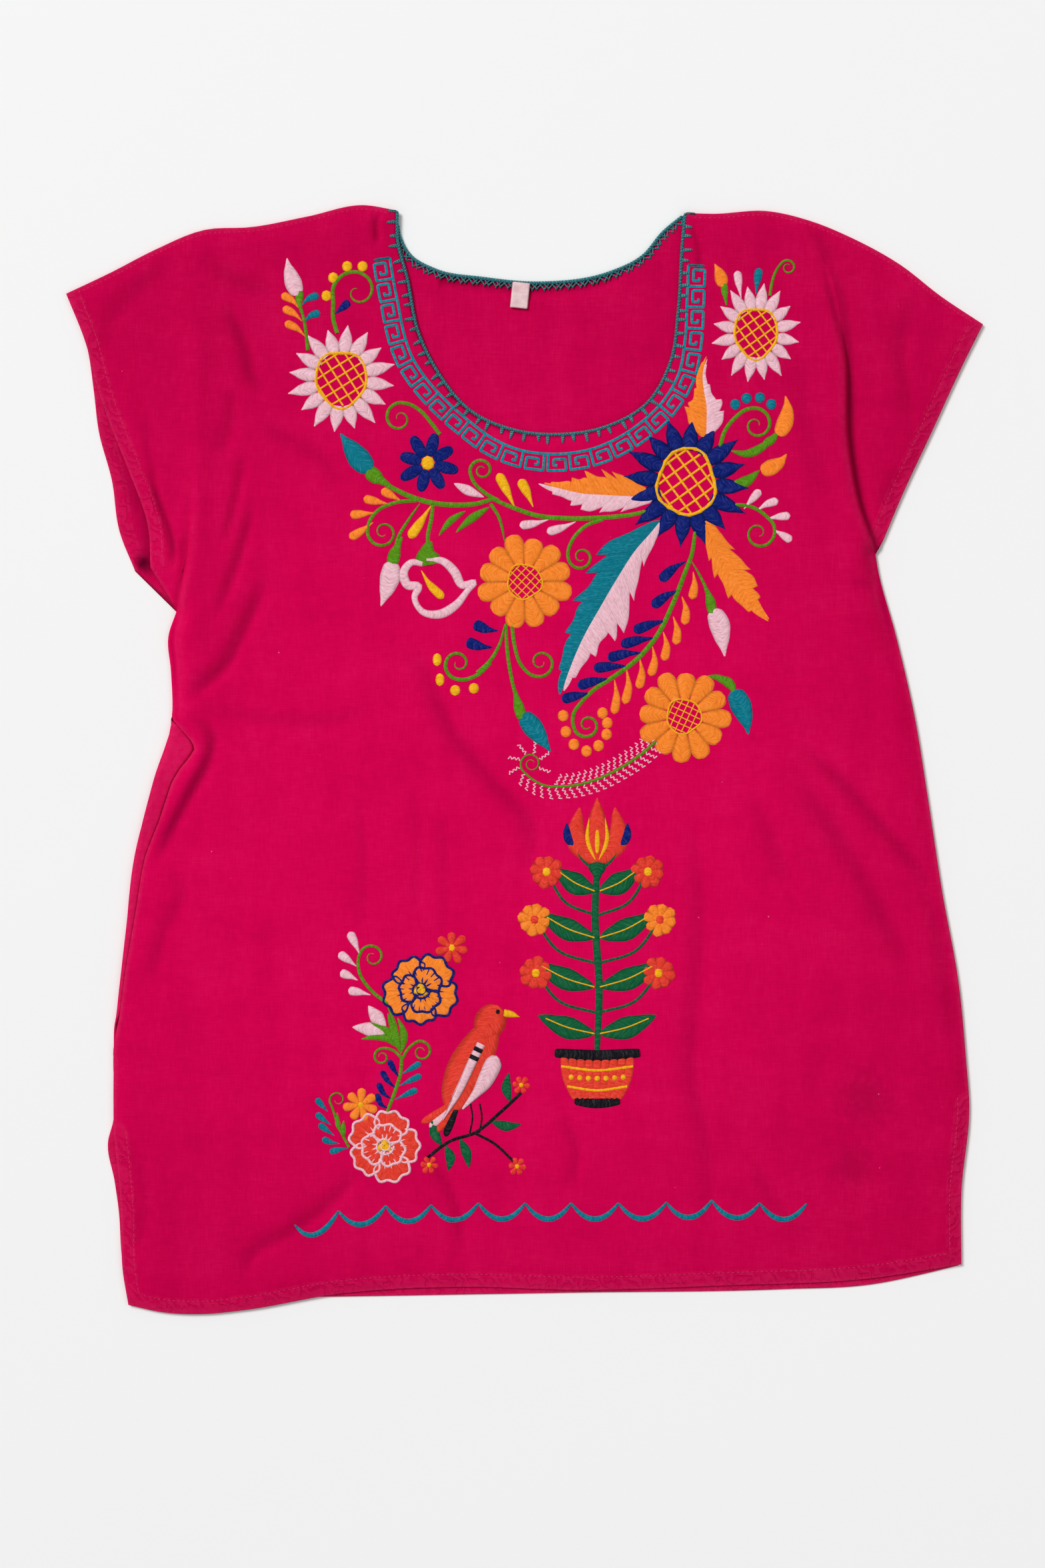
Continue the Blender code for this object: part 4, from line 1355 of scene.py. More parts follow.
def petals(thread: Thread, centre: tuple[float, float], inner: float | tuple[float, float],
           outer: float, count: int, width: float, shape: Shape, turn: float = 0.0,
           squash: float = 1.0) -> list[Stitched]:
    """Petals around a centre, in picture units.

    Args:
        thread, shape, width: of one petal
        centre: of the flower
        inner, outer: distances from the centre to their foot and tip; the feet may lie on an oval
        count: how many
        turn: angle of the first, in turns
        squash: height of the ring over its width
    Returns:
        the petals
    """
    found = []
    feet = np.broadcast_to(inner, 2)
    for i in range(count):
        uneven = 1 + 0.05 * math.sin(2.4 * i + centre[0])
        way = np.array((math.cos(TURN * (i / count + turn)), math.sin(TURN * (i / count + turn))))
        rows = [centre + way * (feet + (outer * uneven * np.array((1.0, squash)) - feet) * share)
                for share in (0.0, 0.35, 0.7, 1.0)]
        found.append(Stitched(thread, shape, width, rows, slant=0.9))
    return found


@dataclass(frozen=True)
class Bloom:
    """A round flower with an open centre: an outline filled with a lattice of gold thread."""

    name: str
    centre: tuple[float, float]
    reach: float              # from the centre to the petals' tips
    disc: tuple[float, float]  # half width and height of the centre
    petals: int
    thread: Thread
    shape: Shape
    petal_width: float
    turn: float
    lattice_gap: float
    lattice_width: float
    lean: float               # angle of the lattice, in turns
    squash: float = 1.0
    base: float = 0.0

    def build(self, needle: Needle) -> None:
        """Stitches the petals, the lattice and the uneven ring round it.

        Args:
            needle: what stitches it
        """
        inner = (self.disc[0] * 0.97, self.disc[1] * 0.97)
        needle.sew(*petals(self.thread, self.centre, inner, self.reach, self.petals,
                           self.petal_width, self.shape, self.turn, self.squash),
                   base=self.base)
        for angle in (TURN * self.lean, TURN * (self.lean + 0.25)):
            along = np.array((math.cos(angle), math.sin(angle)))
            count = int(max(self.disc) / self.lattice_gap) + 1
            for k in range(-count, count + 1):
                self.chord(needle, along, (k + 0.3) * self.lattice_gap)
        angles = np.linspace(0, TURN, 25)
        size = 1 + 0.05 * np.sin(3 * angles + self.centre[0]) + 0.03 * np.sin(5 * angles)
        ring = np.column_stack([np.cos(angles), np.sin(angles)]) * size[:, None] * self.disc + self.centre
        path = Path(to_frame(ring))
        line = path.part(0, 1, steps_for(path.length, STITCH_STEP))
        line[-1] = line[0]
        width = self.lattice_width * 1.45 * UNIT / 2
        needle.ribbon(line, np.full(len(line), width), Thread.GOLD, 0.7, 0.6, self.base + 0.2, 4)

    def chord(self, needle: Needle, along: Array, offset: float) -> None:
        """Stitches one line of the lattice, slightly bowed, from rim to rim.

        Args:
            needle: what stitches it
            along: its direction
            offset: how far it is from the centre
        """
        shares = np.linspace(-1, 1, 41)
        bow = offset * (1 + 0.12 * (1 - shares**2))
        across = np.array((-along[1], along[0]))
        places = self.centre + shares[:, None] * max(self.disc) * 1.4 * along + bow[:, None] * across
        inside = (((places - self.centre) / self.disc) ** 2).sum(axis=1) < 0.98
        if inside.sum() >= 3:
            needle.line(places[inside], self.lattice_width, Thread.GOLD, 0.4)


@dataclass(frozen=True)
class Vane:
    """One side of a feather."""

    thread: Thread
    hand: float               # 1 or -1: which side of the quill
    reach: Stations           # shares of the quill, each with the vane's reach from it there
    teeth: int
    notch: float = 0.34


@dataclass(frozen=True)
class Plume:
    """A feather: a vane on one or both sides of a quill, with a toothed outer edge."""

    stations: Stations        # the quill from its root to its tip, in picture units
    vanes: tuple[Vane, ...]
    lean: float = 0.85        # angle at which the stitches lean towards the tip

    def build(self, needle: Needle) -> None:
        """Stitches the feather.

        Args:
            needle: what stitches it
        """
        path = Path(self.stations)
        share = np.linspace(0, 1, steps_for(path.length, PLUME_STEP) + 1)
        quill = path.at(share)
        along = unit_rows(np.gradient(quill, axis=0))
        for vane in self.vanes:
            side = vane.hand * np.stack([along[:, 1], -along[:, 0]], axis=1)
            envelope = Path(np.reshape(vane.reach, (-1, 2)) / (1, VANE_SCALE)).rows
            reach = np.interp(share, envelope[:, 0], envelope[:, 1]) * VANE_SCALE
            # Each tooth grows slowly towards the tip and ends in a sharp step
            place = share * vane.teeth + 0.22 * np.sin(5.1 * share * vane.teeth + vane.hand)
            tooth = 1 - vane.notch * (1 - place % 1) ** 1.3
            reach = np.maximum(reach * np.where(share < 0.06, 0.8, tooth), 0.4)
            lean = along * (math.tan(self.lean) * reach * (1 - share))[:, None]
            needle.fan(quill, quill + side * reach[:, None] + lean, vane.thread, 0.55)


PLUME_STEP = 2.2
VANE_SCALE = 60.0   # brings a vane's reach to the scale of its shares


@dataclass(frozen=True)
class Rose:
    """A rose of ruffled petals, each filled and outlined."""

    centre: tuple[float, float]
    reach: float
    fill: Thread
    outline: Thread
    heart: Thread
    turn: float

    def around(self, angles: Array, sizes: Array | float) -> Array:
        """Places at these angles and distances from the centre."""
        return np.stack([np.cos(angles), np.sin(angles)], axis=1) * np.reshape(sizes, (-1, 1)) + self.centre

    def petal(self, needle: Needle, angle: float, inner: float, outer: float, width: float,
              base: float) -> None:
        """Stitches one petal: its fill, its outline and the strokes up from its foot.

        Args:
            needle: what stitches it
            angle: its direction
            inner, outer: distances of its foot and rim from the centre
            width: half its width, as an angle
            base: height over the cloth
        """
        across = np.linspace(-1, 1, 17)
        rim = outer * (1 - 0.2 * np.abs(across) ** 3
                       + 0.045 * np.cos(3.2 * math.pi * (across + 0.1 * math.sin(5 * angle))))
        foot = self.around(angle + width * 0.78 * across, inner)
        edge = self.around(angle + width * across, rim)
        needle.fan(foot, edge, self.fill, 0.45, base)
        needle.line([foot[0], *edge, foot[-1]], 4.0, self.outline, 0.35, base=base + 0.25)
        for side in (-0.42, 0.0, 0.42):
            end = inner + (outer - inner) * (0.5 - 0.1 * abs(side))
            stroke = self.around(np.full(2, angle + width * side), np.array([inner + 2, end]))
            needle.sew(Stitched(self.outline, Shape.BARB, 3.2, stroke, 0.3, 0.3), base=base + 0.42)

    def build(self, needle: Needle) -> None:
        """Stitches the rose from its outer petals inwards.

        Args:
            needle: what stitches it
        """
        for count, inner, outer, width, shift, base in (
                (5, 0.4, 1.0, 0.7, 0.0, 0.0), (3, 0.16, 0.62, 1.0, 0.12, 0.4)):
            for i in range(count):
                angle = TURN * (i / count + self.turn + shift)
                size = self.reach * (1 + 0.06 * math.sin(3.1 * i + self.centre[1]))
                self.petal(needle, angle, inner * size, outer * size, width, base + 0.07 * i)
        cup = self.reach * 0.26
        needle.sew(*petals(self.heart, self.centre, 0.5, cup, 3, cup * 0.9, Shape.BUD, 0.1), base=0.85)
        turns = np.linspace(0, 1.7 * TURN, 26)
        needle.line(self.around(turns + self.turn, cup * (1.05 - 0.22 * turns / math.pi)), 3.0,
                    self.outline, 0.3, base=1.15)


def welded(patches: Sequence[Array]) -> tuple[Array, Array]:
    """Joins patches at the points that they share.

    Args:
        patches: grids of x, y and z
    Returns:
        points, and faces as rows of four corner numbers
    """
    build = bmesh.new()
    for patch in patches:
        corners = [[build.verts.new(point) for point in row] for row in patch.tolist()]
        for low, high in zip(corners, corners[1:]):
            for i in range(len(low) - 1):
                build.faces.new((low[i], low[i + 1], high[i + 1], high[i]))
    bmesh.ops.remove_doubles(build, verts=build.verts, dist=WELD)
    build.verts.index_update()
    points = np.array([vert.co[:] for vert in build.verts])
    faces = [[vert.index for vert in face.verts] for face in build.faces]
    build.free()
    return points, np.array([face if len(face) == 4 else [*face, face[-1]] for face in faces])


def rim_of(points: Array, faces: Array) -> tuple[Array, Array]:
    """Where a sheet ends.

    Args:
        points, faces: the sheet
    Returns:
        True for each point on the rim, and each point's distance from it
    """
    pairs = np.sort(np.concatenate([faces[:, [i, (i + 1) % 4]] for i in range(4)]), axis=1)
    found, counts = np.unique(pairs[pairs[:, 0] != pairs[:, 1]], axis=0, return_counts=True)
    ends = found[counts == 1]
    on_rim = np.zeros(len(points), bool)
    on_rim[ends.ravel()] = True
    starts, along = points[ends[:, 0]], points[ends[:, 1]] - points[ends[:, 0]]
    size = np.maximum((along**2).sum(1), 1e-12)
    distances = []
    for first in range(0, len(points), CHUNK // 4):
        offset = points[first:first + CHUNK // 4, None] - starts[None]
        share = np.clip((offset * along).sum(2) / size, 0, 1)
        gap = offset - share[..., None] * along
        distances.append(np.sqrt((gap**2).sum(2).min(axis=1)))
    return on_rim, np.concatenate(distances)


def shell(points: Array, faces: Array, wall: float) -> tuple[Array, Array, Array]:
    """Gives a sheet its thickness, with a rounded rim.

    Args:
        points, faces: its middle surface
        wall: thickness
    Returns:
        points and faces of the closed shell, and for each point its place in the sheet
    """
    corners = points[faces]
    normal = np.cross(corners[:, 2] - corners[:, 0], corners[:, 3] - corners[:, 1])
    normals = np.zeros_like(points)
    for i in range(4):
        np.add.at(normals, faces[:, i], normal)
    normals = unit_rows(normals)
    on_rim, distance = rim_of(points, faces)
    near = np.clip(1 - distance / (wall * RIM_SHARE), 0, 1)
    half = wall / 2 * np.sqrt(1 - near**2)
    half[on_rim] = 0.0
    inner = np.flatnonzero(~on_rim)
    under = np.arange(len(points))
    under[inner] = len(points) + np.arange(len(inner))
    offset = normals * half[:, None]
    return (np.concatenate([points + offset, (points - offset)[inner]]),
            np.concatenate([faces, under[faces[:, ::-1]]]),
            np.concatenate([np.arange(len(points)), inner]))


def takes_place(piece: bpy.types.Object, node: str) -> None:
    """Rides a piece on the root body, in place of its solid.

    Args:
        piece: the mesh
        node: the solid that it replaces
    """
    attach(piece, "root")
    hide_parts(node)


def raised(flat: Array, height: Array | float) -> Array:
    """Places of x and y, with their heights."""
    return np.concatenate([flat, np.broadcast_to(height, flat.shape[:-1])[..., None]], axis=-1)


RIM_SHARE = 0.6   # radius of a rim over the cloth's thickness
FAR = 60.0        # a distance from an edge beyond which nothing of it shows


@dataclass
class Panel:
    """One panel of the blouse as a thin shell of cotton."""

    name: str
    node: str
    cut: Cut
    hems: tuple[Path, ...]       # turned edges, below and at the sleeves
    vents: tuple[Path, ...]      # turned edges of the side vents
    flat: tuple[float, float]
    area: float
    rests_on: tuple[str, ...]

    def patches(self) -> list[Array]:
        """The panel's patches with their heights."""
        raise NotImplementedError

    @staticmethod
    def along(paths: Sequence[Path], points: Array) -> Array:
        """Where each point lies beside the nearest of some edges.

        Args:
            paths: the edges
            points: rows that start with x and y
        Returns:
            place along the edge and distance from it
        """
        best = np.column_stack([np.zeros(len(points)), np.full(len(points), FAR)])
        for number, path in enumerate(paths):
            distance, share = path.reach(points)
            found = np.column_stack([share * path.length + 700.0 * number, np.abs(distance)])
            best = np.where(found[:, 1:] < best[:, 1:], found, best)
        return best

    def worn(self, points: Array) -> Array:
        """Wear of the cloth at each point, from 0 to 1 on its rims."""
        rims = np.min([np.abs(edge.reach(points)[0]) for edge in self.cut.edges()[1:]], axis=0)
        return 0.6 * np.exp(-(rims / 1.8) ** 2)

    def build(self, material: bpy.types.Material) -> bpy.types.Object:
        """Makes the panel.

        Args:
            material: its cotton
        Returns:
            the object
        """
        middle, faces = welded(self.patches())
        points, shell_faces, source = shell(middle, faces, WALL)
        piece = mesh_object(self.name, points, shell_faces, [material])
        add_layer(piece, "hem", self.along(self.hems, middle)[source])
        add_layer(piece, "side", self.along(self.vents, middle)[source])
        # The crest numbers carry wear above 0 and painted shade below 0
        add_numbers(piece, "crest", self.worn(middle)[source])
        takes_place(piece, self.node)
        return piece


@dataclass
class FrontPanel(Panel):
    """The front panel, which lies on the back one with its folds."""

    surface: FrontSurface = field(kw_only=True)

    def patches(self) -> list[Array]:
        """The panel's patches, raised to the front surface."""
        return [raised(patch, self.surface.middle(patch.reshape(-1, 2)).reshape(patch.shape[:2]))
                for patch in self.cut.patches().values()]

    def worn(self, points: Array) -> Array:
        """Wear along the rims and on the rolled edges; below 0 where shade is painted into the hollows of
        the folds and at the crests' feet.

        Args:
            points: of the middle surface
        Returns:
            a number each
        """
        wear = super().worn(points)
        for crest in CRESTS:
            distance, height = crest.beside(points)
            ridge = np.exp(-((distance - 1.2) / 2.4) ** 2)
            wear = np.maximum(wear, 0.35 * ridge * np.clip(height / FULL_CREST, 0, 1))
        return wear - self.surface.painted_fold_shade(points)


@dataclass
class BackPanel(Panel):
    """The back panel, flat on the floor, with its strip rolled over to the left seam."""

    def patches(self) -> list[Array]:
        """The flat patches, and the strip.

        Returns:
            grids of x, y and z
        """
        flat = self.cut.patches()
        boundary = flat["body"][:, 0]
        rolled = np.flatnonzero(seam_over(boundary[:, 1]) > 0)
        return [*(raised(patch, BACK_MIDDLE) for patch in flat.values()),
                self.strip(boundary[rolled[0] - 1:rolled[-1] + 2])]

    @staticmethod
    def strip(boundary: Array) -> Array:
        """The cloth from where it leaves the floor, round the left side and up to the seam.

        Args:
            boundary: points where it starts
        Returns:
            grid of x, y and z
        """
        x, y = boundary.T[..., None]
        over = seam_over(y)
        length = (math.pi * ROLL_RADIUS + over - ROLL_INSET) * np.minimum(over / FULL_ROLL, 1.0)
        travel = length * np.arange(ROLL_STEPS, -1, -1) / ROLL_STEPS
        turn = np.minimum(travel / ROLL_RADIUS, math.pi)
        flat = np.maximum(0.0, travel - math.pi * ROLL_RADIUS)
        return np.stack(np.broadcast_arrays(x - ROLL_RADIUS * np.sin(turn) + flat, y,
                                            BACK_MIDDLE + ROLL_RADIUS * (1 - np.cos(turn))), axis=-1)

    def worn(self, points: Array) -> Array:
        """Wear along the rims and on the rolled strip; below 0 where shade is painted into the gap under
        the left sleeve and its dark opening.

        Args:
            points: of the middle surface
        Returns:
            a number each
        """
        wear = np.maximum(super().worn(points), 0.35 * (points[:, 2] > BACK_MIDDLE + 0.3))
        reach = Path(FRONT_SLEEVE_LEFT).reach(points)[0]
        # Painted shade in the gap beside the front's left sleeve hem, and in the sleeve's opening at its
        # foot
        painted_gap_shade = 0.8 * np.exp(-(reach / 5.5) ** 2) * np.clip((205 - points[:, 1]) / 50, 0, 1)
        pit = 1.5 * np.exp(-(np.hypot(points[:, 0] + 230, points[:, 1] - 118) / 4.5) ** 2)
        return wear - painted_gap_shade - pit


@dataclass
class NeckEdging:
    """A crocheted cord along one neckline, with stitches that hold it to the cloth."""

    name: str
    node: str
    stations: Stations
    start: float
    end: float
    height: float             # of the cord's middle
    cloth: Callable[[Array], Array]
    loops: bool               # True makes a row of loops, False separate spikes
    strand: float = 0.66
    twist: float = 0.5        # how far each strand's middle is from the cord's
    lay: float = 3.4          # length of one turn

    def build(self, material: bpy.types.Material) -> bpy.types.Object:
        """Makes the edging.

        Args:
            material: its thread
        Returns:
            the object
        """
        gather = Gather()
        path = Path(self.stations)
        length = path.length * (self.end - self.start)
        line = path.part(self.start, self.end, steps_for(length, 0.6))
        middle = offset_line(line, -CORD_RADIUS)
        side = offset_line(line, 1.0) - line
        for hand in (0.0, math.pi):
            turn = TURN * np.linspace(0, length, len(line)) / self.lay + hand
            rows = raised(middle + side * self.twist * np.cos(turn)[:, None],
                          self.height + self.twist * np.sin(turn))
            tube(gather, rows, self.strand, 6, hand * 10)
        (self.loop_row if self.loops else self.spikes)(gather, path, length)
        piece = gather.make(self.name, [material])
        takes_place(piece, self.node)
        return piece

    def place(self, path: Path, along: Array, inward: Array) -> Array:
        """Points beside the neckline, lying on the cloth.

        Args:
            path: the neckline
            along: places along it, in millimetres from the start
            inward: distances from its outer edge
        Returns:
            rows of x, y and z
        """
        shares = np.clip(self.start + along / path.length, 0, 1)
        ahead = path.ahead(shares, 0.002)
        flat = path.at(shares) + np.stack([ahead[:, 1], -ahead[:, 0]], axis=1) * inward[:, None]
        share = np.clip((inward - CORD_RADIUS) / 2.0, 0, 1)
        return raised(flat, self.height * (1 - share) + (self.cloth(flat) + SPIKE_RADIUS * 0.6) * share)

    def spikes(self, gather: Gather, path: Path, length: float) -> None:
        """Adds the spikes: at each, three threads that run together into a point.

        Args:
            gather: where they go
            path: the neckline
            length: of the cord
        """
        count = steps_for(length, SPIKE_PITCH)
        share = np.linspace(0, 1, 7)
        for i in range(count + 1):
            middle = length * (i + 0.12 * math.sin(3.7 * i)) / count
            reach = SPIKE_LENGTH * (1 + 0.14 * math.sin(2.3 * i))
            for foot in (-0.8, 0.0, 0.6):
                along = middle + foot * (1 - share) + 0.5 * math.sin(1.9 * i) * share
                rows = self.place(path, along, 1.2 + (reach - 1.2) * share)
                tube(gather, rows, SPIKE_RADIUS * (0.85 + 0.3 * share), 6, 5.0 * i)

    def loop_row(self, gather: Gather, path: Path, length: float) -> None:
        """Adds a row of rounded loops, as two threads that sway side by side.

        Args:
            gather: where they go
            path: the neckline
            length: of the cord
        """
        count = steps_for(length, SPIKE_PITCH)
        share = np.linspace(0, 1, count * 14 + 1)
        phase = share * count
        wave = np.abs(((phase % 1.0) * 2) - 1)
        for shift, deep in ((0.0, SPIKE_LENGTH * 0.86), (2.6, SPIKE_LENGTH * 0.8)):
            along = share * length + shift + 1.3 * np.sin(TURN * phase)
            rows = self.place(path, np.clip(along, 0, length), deep - (deep - 1.0) * wave**1.9)
            tube(gather, rows, SPIKE_RADIUS * 0.66, 6, shift * 40)


SPIKE_PITCH, SPIKE_LENGTH, SPIKE_RADIUS = 7.2, 6.6, 0.58


@dataclass
class SizeLabel:
    """A small woven tape folded double and sewn in below the back neck; it is left blank."""

    name: str = "neck_label_tape"
    width: float = 10.6
    length: float = 15.6
    wall: float = 0.6
    middle: float = 2.7       # height of its middle surface
    top: tuple[float, float] = (-1.9, 286.6)
    lean: float = math.radians(6)

    def build(self, material: bpy.types.Material) -> bpy.types.Object:
        """Makes the label.

        Args:
            material: its tape
        Returns:
            the object
        """
        x, y = np.meshgrid(np.linspace(-self.width / 2, self.width / 2, 15),
                           np.linspace(-self.length, 0, 23))
        fold = np.exp(-((y + self.length * 0.42) / 0.5) ** 2)
        height = (self.middle + 0.25 * np.sin(x * 0.5 + y * 0.22) - 0.3 * fold
                  + 0.5 * np.clip((-y - self.length * 0.8) / 3.0, 0, 1) ** 2)
        side, along = math.cos(self.lean), math.sin(self.lean)
        flat = np.stack([side * x + along * y, side * y - along * x], axis=-1) + self.top
        points, faces, _ = shell(*welded([raised(flat, height)]), self.wall)
        piece = mesh_object(self.name, points, faces, [material])
        takes_place(piece, "neck_label")
        return piece


@dataclass(frozen=True)
class StitchRow:
    """A row of running stitches beside an edge of the front."""

    path: Stations
    inward: float            # positive to the left of the path
    start: float             # shares of the path
    end: float


@dataclass
class HemStitches:
    """The machine stitching of the front's hems, vents, sleeves and shoulders."""

    name: str
    rows: tuple[StitchRow, ...]
    cloth: Callable[[Array], Array]
    pitch: float = 2.9
    stitch: float = 2.1
    radius: float = 0.2

    def build(self, material: bpy.types.Material) -> bpy.types.Object:
        """Makes all rows one piece.

        Args:
            material: the sewing thread
        Returns:
            the object
        """
        gather = Gather()
        places = []
        for row in self.rows:
            path = Path(offset_line(Path(row.path).part(0, 1, 240), row.inward), smooth=False)
            count = steps_for(path.length * (row.end - row.start), self.pitch)
            for i in range(count):
                first = row.start + (row.end - row.start) * (i + 0.1) / count
                places.append(path.part(first, first + self.stitch / path.length, 3))
        heights = self.cloth(np.concatenate(places)).reshape(-1, 4)
        for i, (flat, height) in enumerate(zip(places, heights)):
            tube(gather, raised(flat, height + np.array((-0.26, -0.02, -0.02, -0.26))), self.radius,
                 5, 3.0 * i)
        piece = gather.make(self.name, [material])
        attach(piece, "root")
        return piece


T, S = Thread, Shape


def dots(thread: Thread, radius: float, *centres: tuple[float, float]) -> list[Stitched]:
    """Small round spots, in picture units."""
    return [Stitched(thread, S.OVAL, radius * 2, (x, y + radius, x, y - radius), rise=0.6)
            for x, y in centres]


BLOOMS = (
    Bloom("sunflower_left", (512, 569), 83, (38, 42), 16, T.PINK, S.RAY, 23, 0.02, 13.5, 3.2, 0.16),
    Bloom("sunflower_right", (1134, 500), 68, (32, 38), 16, T.PINK, S.RAY, 20, 0.03, 12.0, 3.0, 0.15,
          squash=1.14),
    Bloom("daisy_upper", (787, 873), 70, (26, 26), 12, T.ORANGE, S.PAD, 33, 0.04, 8.5, 2.0, 0.12),
    Bloom("daisy_lower", (1026, 1075), 69, (26, 26), 12, T.ORANGE, S.PAD, 32, 0.01, 8.5, 2.0, 0.07),
    Bloom("sunflower_blue", (1030, 724), 97, (43, 50), 16, T.BLUE, S.RAY, 24.5, 0.015, 15.5, 3.8, 0.15,
          base=0.3),
)

ROSES = (
    ("rose_orange", Rose((631, 1485), 53, T.ORANGE, T.BLUE, T.GOLD, 0.06)),
    ("rose_red", Rose((577, 1719), 53, T.RED, T.PINK, T.GOLD, 0.0)),
)

